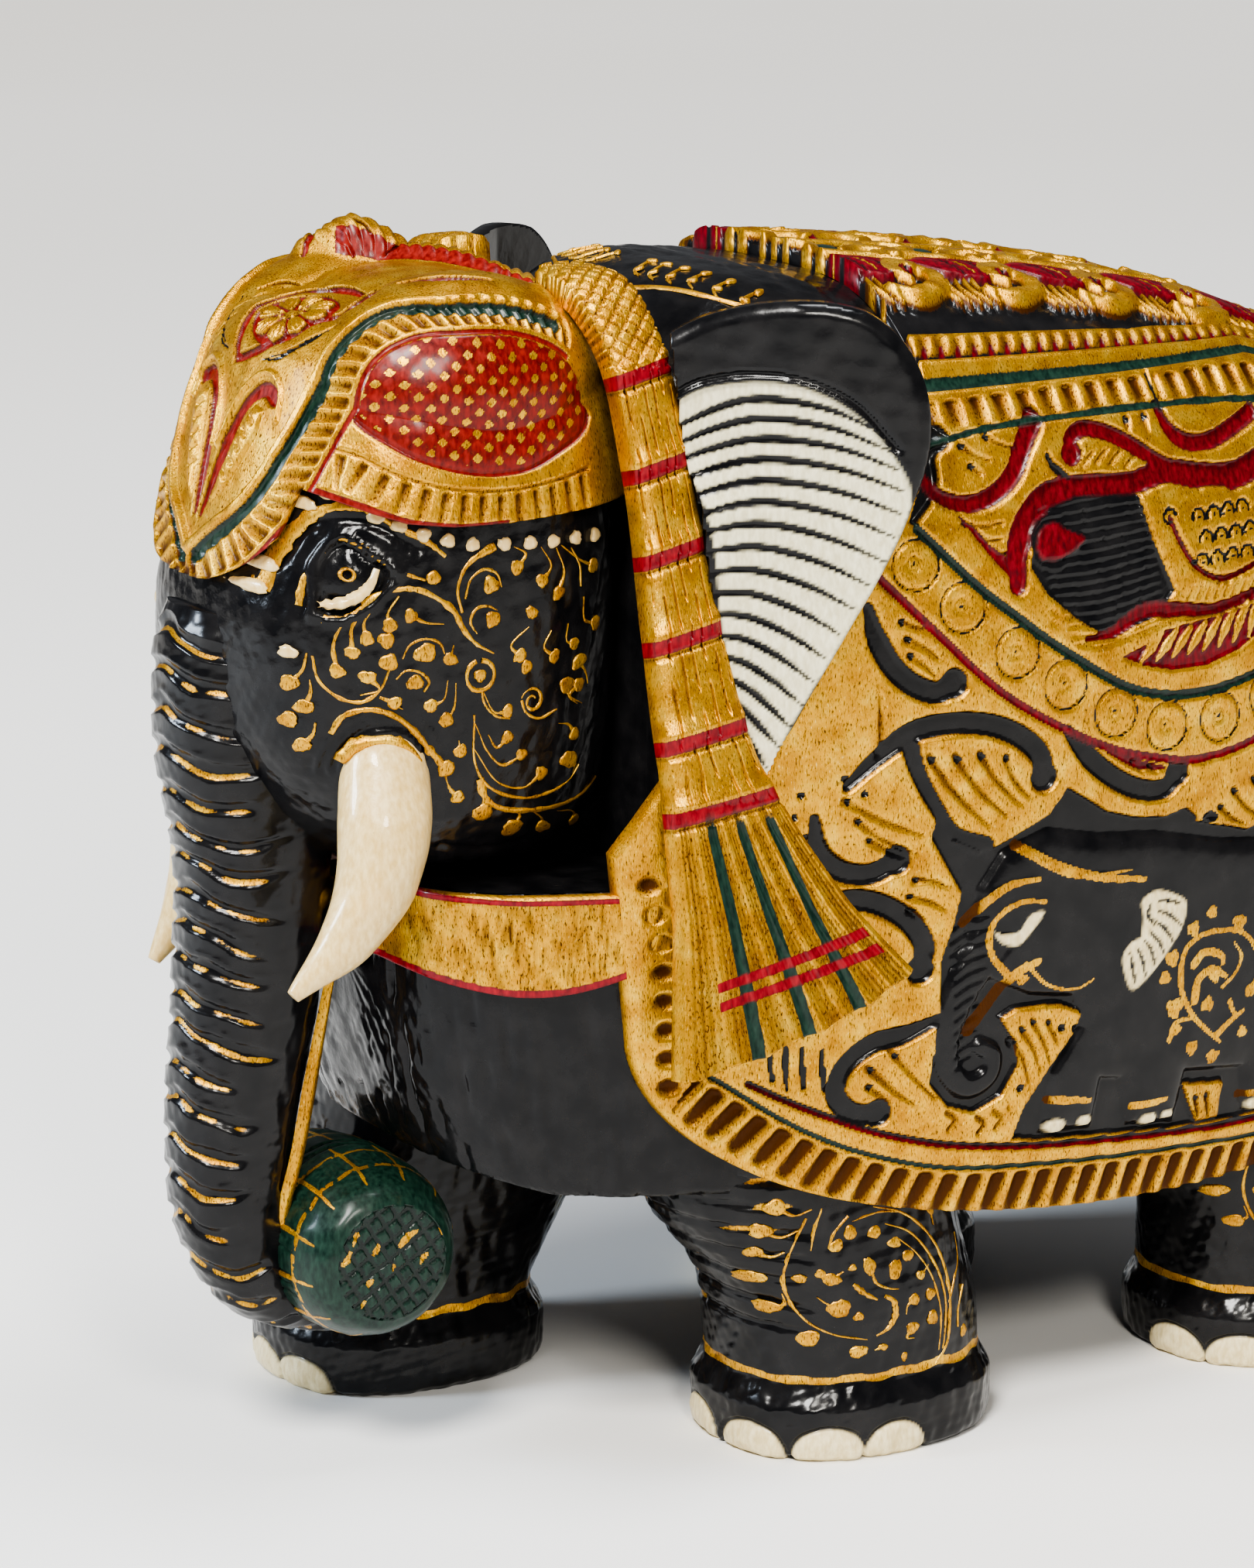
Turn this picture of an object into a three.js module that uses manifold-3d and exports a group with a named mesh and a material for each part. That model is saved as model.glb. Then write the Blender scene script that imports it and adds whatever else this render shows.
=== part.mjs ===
// A carved and painted wooden elephant with a saddle cloth, headdress and side tassels.
// It faces -Y, its left side is +X and it stands on Z = 0. Units are millimetres.
// The origin is on the ground, at the middle of the figure's outer box.
import * as THREE from 'three';
import { mergeVertices } from 'three/addons/utils/BufferGeometryUtils.js';
import Module from 'manifold-3d';

const wasm = await Module();
wasm.setup();

// Driving dimensions.
const GAP = 0.3; // between pieces that touch
const SOCKET_GAP = 0.6; // round a tusk in its socket
const CLOTH_THICKNESS = 5;
const HEADDRESS_THICKNESS = 4;
const FOOT_HALF_WIDTH = 31;
const FOOT_HALF_LENGTH = 36;
const FOOT_FLARE = 3; // how far the foot stands out from the ankle
const ANKLE_HEIGHT = 20;
const LEG_LINE = 46; // from the middle plane to the middle of a leg
const BELLY_HEIGHT = 68;
const EAR_THICKNESS = 7;
const TASSEL_THICKNESS = 8;
const COLLAR_THICKNESS = 5;
const LEG_DOWEL_RADIUS = 6;
const NECK_DOWEL_RADIUS = 9;
const SMALL_DOWEL_RADIUS = 3;

// Foot centres along Y: the right legs are a stride ahead of the left ones.
// `knee` and `thigh` say how much of the lean from foot to top is reached on the way up,
// and `fore` how far the thigh is drawn out to the front.
const STRIDE = {
  leg_front_left: { side: 1, foot: -13, top: -36, knee: 0.1, thigh: 0.5, fore: 0 },
  leg_front_right: { side: -1, foot: -86, top: -57, knee: 0.33, thigh: 0.75, fore: 10 },
  leg_rear_left: { side: 1, foot: 115, top: 106, knee: 0.1, thigh: 0.5, fore: 0 },
  leg_rear_right: { side: -1, foot: 44, top: 58, knee: 0.2, thigh: 0.6, fore: 0 },
};

const black = new THREE.MeshStandardMaterial({ color: 0x0b0b0e, roughness: 0.2, metalness: 0 });
const gold = new THREE.MeshStandardMaterial({ color: 0xb98a2a, roughness: 0.4, metalness: 0.7 });
const ivory = new THREE.MeshStandardMaterial({ color: 0xe9dcae, roughness: 0.35, metalness: 0 });
const green = new THREE.MeshStandardMaterial({ color: 0x12302a, roughness: 0.3, metalness: 0 });
const bareWood = new THREE.MeshStandardMaterial({ color: 0xb08a5a, roughness: 0.8, metalness: 0 });

const elephant = new THREE.Group();

// ---- Solids ----

// A closed solid from a geometry, with its faces turned outwards if a mirror turned them in.
function solid(geometry) {
  const bare = geometry.clone();
  bare.deleteAttribute('normal');
  bare.deleteAttribute('uv');
  const merged = mergeVertices(bare, 1e-4);
  const triangles = new Uint32Array(merged.index.array);
  const body = manifoldOf(merged, triangles);
  if (body.volume() > 0) return body;
  for (let i = 0; i < triangles.length; i += 3) {
    [triangles[i], triangles[i + 1]] = [triangles[i + 1], triangles[i]];
  }
  return manifoldOf(merged, triangles);
}

function manifoldOf(merged, triangles) {
  return new wasm.Manifold(new wasm.Mesh({
    numProp: 3,
    vertProperties: new Float32Array(merged.attributes.position.array),
    triVerts: triangles,
  }));
}

function geometryOf(body) {
  const mesh = body.getMesh();
  const geometry = new THREE.BufferGeometry();
  geometry.setAttribute('position', new THREE.BufferAttribute(mesh.vertProperties, 3));
  geometry.setIndex(new THREE.BufferAttribute(mesh.triVerts, 1));
  return geometry;
}

function addPiece(name, body, material) {
  const mesh = new THREE.Mesh(geometryOf(body), material);
  mesh.name = name;
  elephant.add(mesh);
}

// A rounded section: power 2 is an ellipse, and higher powers are squarer.
function roundedPoint(angle, power) {
  const bend = (value) => Math.sign(value) * Math.abs(value) ** (2 / power);
  return [bend(Math.cos(angle)), bend(Math.sin(angle))];
}

// A body whose section changes smoothly from station to station. A station is
// [x, y, z, half width, half height]. Sections lie across X and `upright`, or,
// with no upright, across X and square to the path.
function loft(stations, { power = 2.3, around = 32, steps = 24, upright = null, grow = 0 } = {}) {
  const centres = stations.map(([x, y, z]) => new THREE.Vector3(x, y, z));
  const sizes = stations.map(([, , , width, height]) => new THREE.Vector3(width, height, 0));
  const path = new THREE.CatmullRomCurve3(centres);
  const sizePath = new THREE.CatmullRomCurve3(sizes);
  const geometry = new THREE.CylinderGeometry(1, 1, 1, around, steps);
  const points = geometry.attributes.position;
  const across = new THREE.Vector3(1, 0, 0);
  for (let i = 0; i < points.count; i += 1) {
    const along = THREE.MathUtils.clamp(points.getY(i) + 0.5, 0, 1);
    const centre = path.getPoint(along);
    const size = sizePath.getPoint(along);
    const tangent = path.getTangent(along);
    const rise = upright ? upright.clone() : tangent.clone().cross(across).normalize();
    const reach = Math.hypot(points.getX(i), points.getZ(i));
    const [u, v] = roundedPoint(Math.atan2(points.getZ(i), points.getX(i)), power);
    const spot = centre.clone();
    if (reach > 0.5) {
      spot.addScaledVector(across, u * (size.x + grow));
      spot.addScaledVector(rise, v * (size.y + grow));
    }
    if (grow !== 0 && along === 0) spot.addScaledVector(tangent, -grow);
    if (grow !== 0 && along === 1) spot.addScaledVector(tangent, grow);
    points.setXYZ(i, spot.x, spot.y, spot.z);
  }
  return solid(geometry);
}

// A flat outline in the Y-Z plane, pushed out along X from `from` to `to`.
function sideSlab(outline, from, to) {
  const shape = new THREE.Shape(outline.map(([y, z]) => new THREE.Vector2(y, z)));
  const geometry = new THREE.ExtrudeGeometry(shape, { depth: to - from, bevelEnabled: false });
  // Extruded along Z with the outline in X-Y: turn it so that X-Y becomes Y-Z.
  const turn = new THREE.Matrix4().makeBasis(
    new THREE.Vector3(0, 1, 0),
    new THREE.Vector3(0, 0, 1),
    new THREE.Vector3(1, 0, 0),
  );
  geometry.applyMatrix4(turn);
  geometry.translate(from, 0, 0);
  return solid(geometry);
}

function box(low, high) {
  const size = high.map((value, axis) => value - low[axis]);
  const geometry = new THREE.BoxGeometry(...size);
  geometry.translate(...high.map((value, axis) => (value + low[axis]) / 2));
  return solid(geometry);
}

// A dowel between two points, or with `clearance` the hole that it sits in.
function dowel(start, end, radius, clearance = 0) {
  const from = new THREE.Vector3(...start);
  const to = new THREE.Vector3(...end);
  const direction = to.clone().sub(from);
  const length = direction.length() + 2 * clearance;
  const geometry = new THREE.CylinderGeometry(radius + clearance, radius + clearance, length, 12);
  geometry.applyQuaternion(new THREE.Quaternion().setFromUnitVectors(
    new THREE.Vector3(0, 1, 0),
    direction.normalize(),
  ));
  const middle = from.add(to).multiplyScalar(0.5);
  geometry.translate(middle.x, middle.y, middle.z);
  return solid(geometry);
}

// ---- Body ----

const UP = new THREE.Vector3(0, 0, 1);
const BACK = new THREE.Vector3(0, 1, 0);

// Sections of the body from the chest to the rump. They reach below the belly, so that
// the flanks stay upright down to the hem; the underside is cut off afterwards.
const TORSO = [
  [0, -124, 122, 14, 13],
  [0, -120, 124, 32, 37],
  [0, -106, 134, 48, 78],
  [0, -80, 139, 60, 116],
  [0, -45, 145, 70, 134],
  [0, 0, 143, 77, 132],
  [0, 45, 141, 79, 129],
  [0, 90, 139, 77, 123],
  [0, 127, 138, 70, 111],
  [0, 149, 144, 57, 84],
  [0, 158, 146, 41, 56],
  [0, 162, 146, 18, 24],
];

// Side view of what is cut away under the chest, belly and rump.
const UNDERSIDE = [
  [-150, -140],
  [-150, 108],
  [-130, 92],
  [-116, 77],
  [-94, 70],
  [-50, BELLY_HEIGHT],
  [115, BELLY_HEIGHT],
  [148, 84],
  [175, 112],
  [175, -140],
];

// Side view of the space above the collar, where the head sits in front of the neck.
const NECK_FACE = -68;
const COLLAR_TOP = 144;
const HEAD_SPACE = [
  [-200, COLLAR_TOP],
  [NECK_FACE, COLLAR_TOP],
  [NECK_FACE, 330],
  [-200, 330],
];

function torsoForm(grow) {
  return loft(TORSO, { power: 3.4, around: 32, steps: 20, upright: UP, grow });
}

// Sections of the head, from the jaw to the crown.
const HEAD = [
  [0, -99, 145, 18, 16],
  [0, -102, 149, 35, 30],
  [0, -107, 162, 45, 42],
  [0, -111, 182, 49, 49],
  [0, -111, 206, 50, 50],
  [0, -108, 230, 49, 47],
  [0, -106, 252, 45, 41.5],
  [0, -105, 268, 40, 37],
  [0, -104, 277, 34, 32],
  [0, -104, 281, 21, 19],
];

function headForm(grow) {
  return loft(HEAD, { power: 2.6, around: 26, steps: 16, upright: BACK, grow });
}

// The two rounded domes of the crown.
const DOME = { x: 25, y: -106, z: 259, half: [25, 37, 29] };

function dome(side, grow) {
  const geometry = new THREE.SphereGeometry(1, 18, 12);
  geometry.scale(...DOME.half.map((value) => value + grow));
  geometry.translate(side * DOME.x, DOME.y, DOME.z);
  return solid(geometry);
}

// The trunk hangs in front of the face and curls back under the log at its tip.
const TRUNK = [
  [0, -147, 207, 18, 17],
  [0, -148, 196, 20.5, 20],
  [0, -148.5, 175, 19.5, 20],
  [0, -146.5, 148, 18, 18],
  [0, -149, 115, 16.5, 17],
  [0, -153.5, 84, 15, 15],
  [0, -154, 62, 14, 13],
  [0, -148, 46, 12.5, 10.5],
  [0, -136, 37, 10, 7],
  [0, -123, 32, 8, 4],
];

function trunkForm(grow) {
  return loft(TRUNK, { power: 2.2, around: 16, steps: 22, grow });
}

function legForm({ side, foot, top, knee, thigh, fore }) {
  const x = side * LEG_LINE;
  const lean = top - foot;
  const wide = FOOT_HALF_WIDTH;
  const long = FOOT_HALF_LENGTH;
  const stations = [
    [x, foot, 0, wide - 1, long - 1],
    [x, foot, 5, wide, long],
    [x, foot, 12, wide, long],
    [x, foot, ANKLE_HEIGHT, wide - FOOT_FLARE, long - FOOT_FLARE],
    [x, foot + knee * lean, 38, wide - FOOT_FLARE, long - FOOT_FLARE],
    [x - 3 * side, foot + thigh * lean - fore / 2, 60, wide - 3, long + 2 + fore / 2],
    [x - 7 * side, foot + (thigh + 0.25) * lean - fore / 2, 85, wide - 1, long + 6 + fore / 2],
    [x - 10 * side, top, 112, wide + 1, long + 9],
  ];
  return loft(stations, { power: 2.4, around: 20, steps: 13, upright: BACK });
}

// ---- Worn and fitted pieces ----

// The side cloth, seen from the side: straight front edge, rounded lower corners.
function clothOutline() {
  const shape = new THREE.Path();
  shape.moveTo(-85, 153);
  shape.lineTo(-81, 106);
  shape.bezierCurveTo(-77, 82, -44, 68, -18, 62);
  shape.bezierCurveTo(10, 55, 60, 51, 100, 56);
  shape.bezierCurveTo(132, 61, 144, 85, 146, 120);
  shape.bezierCurveTo(148, 165, 145, 205, 139, 234);
  shape.lineTo(122, 246);
  shape.lineTo(92, 253.6);
  shape.lineTo(-6, 253.6);
  shape.bezierCurveTo(-20, 235, -60, 190, -85, 153);
  return shape.getPoints(10).map((point) => [point.x, point.y]);
}

// The carved top of the saddle lies above the band, between the two side cloths.
const SADDLE_TOP = [
  [-6, 300],
  [-6, 253.6 + GAP],
  [92, 253.6 + GAP],
  [122, 246 + GAP],
  [139, 234 + GAP],
  [141, 300],
];

// The headdress ends at this edge: the plate's tip, its S-shaped side, then the fringe.
const HEADDRESS_EDGE = [
  [-190, 204],
  [-175, 205],
  [-163, 216],
  [-155, 227],
  [-149, 239],
  [-131, 230],
  [-107, 233],
  [-50, 235],
  [-50, 310],
  [-190, 310],
];

// The ear stands off the neck: its front edge is tucked in and its back edge flares out.
const EAR_FRONT = { y: -78, x: 57 };
const EAR_FLARE = 0.55;

function earOutline() {
  const shape = new THREE.Path();
  shape.moveTo(-80, 255);
  shape.bezierCurveTo(-76, 270, -52, 284, -32, 276);
  shape.bezierCurveTo(-18, 268, -16, 248, -22, 233);
  shape.bezierCurveTo(-28, 211, -44, 190, -53, 166);
  shape.lineTo(-66, 168);
  shape.lineTo(-80, 196);
  return shape.getPoints(6);
}

function earForm(side, grow) {
  const shape = new THREE.Shape(earOutline());
  const geometry = new THREE.ExtrudeGeometry(shape, {
    depth: EAR_THICKNESS - 4,
    bevelEnabled: true,
    bevelThickness: 2 + grow,
    bevelSize: 2 + grow,
    bevelOffset: -2,
    bevelSegments: 1,
  });
  const points = geometry.attributes.position;
  for (let i = 0; i < points.count; i += 1) {
    const y = points.getX(i);
    const z = points.getY(i);
    const stand = EAR_FRONT.x + EAR_FLARE * (y - EAR_FRONT.y) - points.getZ(i) - 2;
    points.setXYZ(i, side * stand, y, z);
  }
  return solid(geometry);
}

// A band or strap: a flat section carried along a curve. `widths` gives its half width
// along the curve, across the direction `across`.
function strap(points, widths, thickness, across, { steps = 24, grow = 0 } = {}) {
  const path = new THREE.CatmullRomCurve3(points.map((point) => new THREE.Vector3(...point)));
  const widthPath = new THREE.CatmullRomCurve3(widths.map((w) => new THREE.Vector3(w, 0, 0)));
  const geometry = new THREE.BoxGeometry(1, 1, 1, 2, steps, 1);
  const spots = geometry.attributes.position;
  for (let i = 0; i < spots.count; i += 1) {
    const along = spots.getY(i) + 0.5;
    const centre = path.getPoint(along);
    const face = path.getTangent(along).cross(across).normalize();
    const side = across.clone();
    centre.addScaledVector(side, spots.getX(i) * 2 * (widthPath.getPoint(along).x + grow));
    centre.addScaledVector(face, -thickness / 2 + spots.getZ(i) * (thickness + 2 * grow));
    spots.setXYZ(i, centre.x, centre.y, centre.z);
  }
  return solid(geometry);
}

// The tassel hangs from the crown, down in front of the ear, and flares into a skirt.
const TASSEL_LINE = [
  [24, -77, 284],
  [40, -76, 282],
  [52, -73, 268],
  [59, -70, 240],
  [67.5, -68, 203],
  [74, -65, 175],
  [81.5, -56, 140],
  [88, -46, 105],
];
const TASSEL_HALF_WIDTHS = [7, 8, 7.4, 7.3, 9, 11.5, 21, 35];

function tasselForm(side, grow) {
  const across = new THREE.Vector3(0, side, 0);
  const points = TASSEL_LINE.map(([x, y, z]) => [side * x, y, z]);
  return strap(points, TASSEL_HALF_WIDTHS, TASSEL_THICKNESS, across, { steps: 20, grow });
}

// Side view of the collar, which is bent round the throat just under the jaw.
const COLLAR_SIDE = [
  [-140, COLLAR_TOP - GAP],
  [-70, COLLAR_TOP - GAP],
  [-70, 130],
  [-96, 120],
  [-121, 123],
  [-140, 128],
];

// Each tusk starts as a peg inside the cheek and curves down and forward to its tip.
const TUSK = [
  [33, -123, 194, 7, 7],
  [36, -127.5, 186, 8.4, 8.4],
  [41.5, -132.5, 176, 10.2, 10.2],
  [46, -135.5, 164.5, 10.8, 10.8],
  [49, -139.5, 151.5, 9.4, 9.4],
  [50, -148, 139, 6.2, 6.2],
  [50, -161, 128, 1.6, 1.6],
];

// The right tusk was carved a little longer, and hangs more steeply.
const RIGHT_TUSK_DROP = { y: 12, z: -18 };

function tuskForm(side, grow) {
  const stations = TUSK.map(([x, y, z, wide, high], index) => {
    const share = side < 0 ? Math.max(0, index - 2) / (TUSK.length - 3) : 0;
    return [side * x, y + share * RIGHT_TUSK_DROP.y, z + share * RIGHT_TUSK_DROP.z, wide, high];
  });
  return loft(stations, { power: 2, around: 12, steps: 15, grow });
}

// The log lies across the trunk's tip.
const LOG = [
  [-25, 15],
  [-23, 18],
  [-10, 21],
  [6, 22],
  [20, 20.5],
  [27, 17],
  [29, 14],
];
const LOG_CENTRE = { y: -126, z: 53 };

function logForm() {
  const profile = new THREE.SplineCurve(LOG.map(([x, radius]) => new THREE.Vector2(radius, x)));
  const outline = [
    new THREE.Vector2(0, LOG[0][0]),
    ...profile.getPoints(8),
    new THREE.Vector2(0, LOG[LOG.length - 1][0]),
  ];
  const geometry = new THREE.LatheGeometry(outline, 20);
  geometry.rotateZ(-Math.PI / 2);
  geometry.translate(0, LOG_CENTRE.y, LOG_CENTRE.z);
  return solid(geometry);
}

const TAIL = [
  [0, 153, 222, 3, 3],
  [0, 160, 218, 5, 5],
  [0, 164.4, 205, 5, 4],
  [0, 164.9, 175, 4, 3.4],
  [0, 164.9, 145, 3.6, 3.2],
  [0, 164.7, 125, 5, 3.6],
  [0, 164.4, 108, 6, 3.8],
  [0, 164, 98, 2, 1.5],
];

function tailForm(grow) {
  return loft(TAIL, { power: 2, around: 10, steps: 16, grow });
}

// ---- Assembly: each piece is cut back from the neighbours that it is fitted to ----

const SIDES = { left: 1, right: -1 };
const FAR = 120; // past the widest point of the figure

// A fitted piece is the largest body that is left when its neighbours' room is cut away.
function fitted(body, ...neighbours) {
  const cut = neighbours.reduce((rest, neighbour) => rest.subtract(neighbour), body);
  const bodies = cut.decompose();
  return bodies.reduce((best, other) => (other.volume() > best.volume() ? other : best));
}

// Everything on one side of the figure, with half a saw cut left at the middle plane.
function sideHalf(side) {
  const inner = side > 0 ? 0.5 : -FAR;
  return box([inner, -200, 0], [inner + FAR - 0.5, 200, 300]);
}

const underside = sideSlab(UNDERSIDE, -FAR, FAR);
const headSpace = sideSlab(HEAD_SPACE, -FAR, FAR);
const torso = torsoForm(0).subtract(underside).subtract(headSpace);
const torsoRoom = torsoForm(GAP).subtract(underside.translate([0, 0, -GAP])).subtract(headSpace);
const clothOuter = torsoForm(CLOTH_THICKNESS);
const clothShell = clothOuter.subtract(torsoForm(GAP));
const clothSlab = sideSlab(clothOutline(), -FAR, FAR);
const topSlab = sideSlab(SADDLE_TOP, -FAR, FAR);
const clothRoom = torsoForm(CLOTH_THICKNESS + GAP).intersect(clothSlab.add(topSlab));
const underCloth = clothSlab.add(clothSlab.translate([0, 0, -GAP])).subtract(torsoForm(0));

const headRoom = headForm(GAP);
const trunkRoom = trunkForm(GAP);
const capShell = headForm(HEADDRESS_THICKNESS).add(dome(1, 0)).add(dome(-1, 0));

const NECK_DOWEL = [[0, -92, 205], [0, -40, 205]];
const TRUNK_DOWEL = [[0, -146, 190], [0, -112, 190]];
const TAIL_DOWEL = [[0, 142, 206], [0, 164, 206]];

const tailRoom = tailForm(GAP);
const tusks = {};
const tuskRooms = {};
const tasselRooms = {};
const earRooms = {};
const earDowels = {};
Object.entries(SIDES).forEach(([name, side]) => {
  tusks[name] = tuskForm(side, 0);
  tuskRooms[name] = tuskForm(side, SOCKET_GAP);
  tasselRooms[name] = tasselForm(side, GAP);
  earRooms[name] = earForm(side, GAP);
  earDowels[name] = [[side * 48, -55, 226], [side * 66, -55, 226]];
});
const bothTuskRooms = tuskRooms.left.add(tuskRooms.right);
const bothTasselRooms = tasselRooms.left.add(tasselRooms.right);

const legDowels = {};
Object.entries(STRIDE).forEach(([name, { side, top }]) => {
  const x = side * (LEG_LINE - 8);
  legDowels[name] = [[x, top, 50], [x, top, 112]];
});

function hole([start, end], radius) {
  return dowel(start, end, radius, GAP);
}

const torsoHoles = [
  hole(NECK_DOWEL, NECK_DOWEL_RADIUS),
  hole(TAIL_DOWEL, SMALL_DOWEL_RADIUS),
  ...Object.values(earDowels).map((line) => hole(line, SMALL_DOWEL_RADIUS)),
  ...Object.values(legDowels).map((line) => hole(line, LEG_DOWEL_RADIUS)),
];
addPiece('torso', fitted(torso, headRoom, tailRoom, ...torsoHoles), black);

addPiece('head', fitted(
  headForm(0),
  trunkRoom,
  bothTuskRooms,
  hole(NECK_DOWEL, NECK_DOWEL_RADIUS),
  hole(TRUNK_DOWEL, LEG_DOWEL_RADIUS),
), black);
addPiece('trunk', fitted(trunkForm(0), hole(TRUNK_DOWEL, LEG_DOWEL_RADIUS)), black);
addPiece('headdress', fitted(
  capShell.intersect(sideSlab(HEADDRESS_EDGE, -FAR, FAR)),
  headRoom,
  trunkRoom,
  bothTasselRooms,
  torsoRoom,
), gold);
addPiece('collar', fitted(
  torsoForm(COLLAR_THICKNESS).subtract(torsoForm(GAP)).intersect(sideSlab(COLLAR_SIDE, -FAR, FAR)),
  headRoom,
  trunkRoom,
  bothTuskRooms,
  bothTasselRooms,
  clothRoom,
), gold);

Object.entries(STRIDE).forEach(([name, stance]) => {
  const form = legForm(stance);
  const drilled = hole(legDowels[name], LEG_DOWEL_RADIUS);
  addPiece(name, fitted(form, torsoRoom, underCloth, drilled), black);
  addPiece(`${name}_dowel`, dowel(...legDowels[name], LEG_DOWEL_RADIUS), bareWood);
});

Object.entries(SIDES).forEach(([name, side]) => {
  const half = sideHalf(side);
  addPiece(`tusk_${name}`, tusks[name], ivory);
  addPiece(`ear_${name}`, fitted(
    earForm(side, 0),
    headRoom,
    torsoRoom,
    tasselRooms[name],
    hole(earDowels[name], SMALL_DOWEL_RADIUS),
  ), black);
  addPiece(`ear_${name}_dowel`, dowel(...earDowels[name], SMALL_DOWEL_RADIUS), bareWood);
  addPiece(`tassel_${name}`, fitted(
    tasselForm(side, 0),
    headRoom,
    torsoRoom,
    clothRoom,
  ), gold);
  addPiece(`saddle_cloth_${name}`, fitted(
    clothShell.intersect(clothSlab).intersect(half),
    earRooms[name],
    headRoom,
  ), gold);
});
addPiece('saddle_top', fitted(clothShell.intersect(topSlab), clothSlab), gold);

addPiece('trunk_log', fitted(logForm(), trunkRoom), green);
addPiece('tail', fitted(tailForm(0), hole(TAIL_DOWEL, SMALL_DOWEL_RADIUS)), black);
addPiece('neck_dowel', dowel(...NECK_DOWEL, NECK_DOWEL_RADIUS), bareWood);
addPiece('trunk_dowel', dowel(...TRUNK_DOWEL, LEG_DOWEL_RADIUS), bareWood);
addPiece('tail_dowel', dowel(...TAIL_DOWEL, SMALL_DOWEL_RADIUS), bareWood);

export default elephant;
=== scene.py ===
import math

import bpy
import numpy as np
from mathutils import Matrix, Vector


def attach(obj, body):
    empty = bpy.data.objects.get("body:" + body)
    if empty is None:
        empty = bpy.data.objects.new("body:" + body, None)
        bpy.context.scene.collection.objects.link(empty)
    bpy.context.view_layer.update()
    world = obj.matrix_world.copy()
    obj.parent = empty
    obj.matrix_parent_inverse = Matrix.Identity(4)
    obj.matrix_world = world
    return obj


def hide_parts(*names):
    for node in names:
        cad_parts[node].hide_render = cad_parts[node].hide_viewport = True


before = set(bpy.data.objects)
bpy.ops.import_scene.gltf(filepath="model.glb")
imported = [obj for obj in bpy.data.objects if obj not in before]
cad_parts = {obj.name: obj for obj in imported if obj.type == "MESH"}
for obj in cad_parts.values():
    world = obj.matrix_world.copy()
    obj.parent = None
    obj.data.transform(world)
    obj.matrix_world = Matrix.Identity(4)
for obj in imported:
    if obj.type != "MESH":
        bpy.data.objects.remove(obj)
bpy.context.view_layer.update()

# A carved, painted wooden elephant. It faces -Y and its left side is +X.
# Shapes are worked out in millimetres and turned into metres when a mesh is made.
MM = 0.001
SIDES = {"left": 1, "right": -1}
PAINTS = ("gold", "red", "green", "cream")
# Depths of hollows are marked up to this many millimetres; the gold paint is browned by them as painted
# shade.
DEEPEST = 6
rng = np.random.default_rng(7)


# ---- Curves and noise ----

def smooth(points, steps):
    """A smooth line through points, evenly stepped from one point to the next."""
    p = np.asarray(points, float)
    last = len(p) - 1
    p = np.vstack([2 * p[0] - p[1], p, 2 * p[-1] - p[-2]])
    gap = np.maximum(np.linalg.norm(np.diff(p, axis=0), axis=1) ** 0.5, 1e-4)[:, None]
    at = np.linspace(0, last, steps)
    i = np.minimum(at.astype(int), last - 1)
    t = (at - i)[:, None]
    a, b, c, d = p[i], p[i + 1], p[i + 2], p[i + 3]
    before, here, after = gap[i], gap[i + 1], gap[i + 2]
    leave = ((b - a) / before - (c - a) / (before + here) + (c - b) / here) * here
    arrive = ((c - b) / here - (d - b) / (here + after) + (d - c) / after) * here
    rise = t * t * (3 - 2 * t)
    return (1 - rise) * b + (t - 2 * t**2 + t**3) * leave + rise * c + (t**3 - t**2) * arrive


def curve(*points):
    """A line through given points, dense enough to look smooth."""
    return smooth(points, 5 * len(points) + 1)


def ring(centre, radius, turns=1.0, start=0.0, end_radius=None):
    """A circle, an arc or a spiral round centre."""
    angle = 2 * math.pi * (start + np.linspace(0, turns, int(28 * abs(turns)) + 6))
    reach = np.linspace(radius, radius if end_radius is None else end_radius, len(angle))
    return np.column_stack([centre[0] + reach * np.cos(angle), centre[1] + reach * np.sin(angle)])


def fade(value):
    """0 below 0, 1 above 1, and a soft step between."""
    value = np.clip(value, 0, 1)
    return value * value * (3 - 2 * value)


def lumps(x, y, z, size, seed):
    """Soft bumps from -1 to 1, about size apart, by summing a few waves in fixed directions."""
    draw = np.random.default_rng(seed)
    total = 0
    for _ in range(7):
        way = draw.normal(size=3)
        way /= np.linalg.norm(way)
        pitch = 2 * math.pi / (size * draw.uniform(0.7, 1.5))
        total = total + np.sin(pitch * (way[0] * x + way[1] * y + way[2] * z) + draw.uniform(0, 6.28))
    return total / 3.5


# ---- Carving: heights and paints on a sheet of points ----

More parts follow.
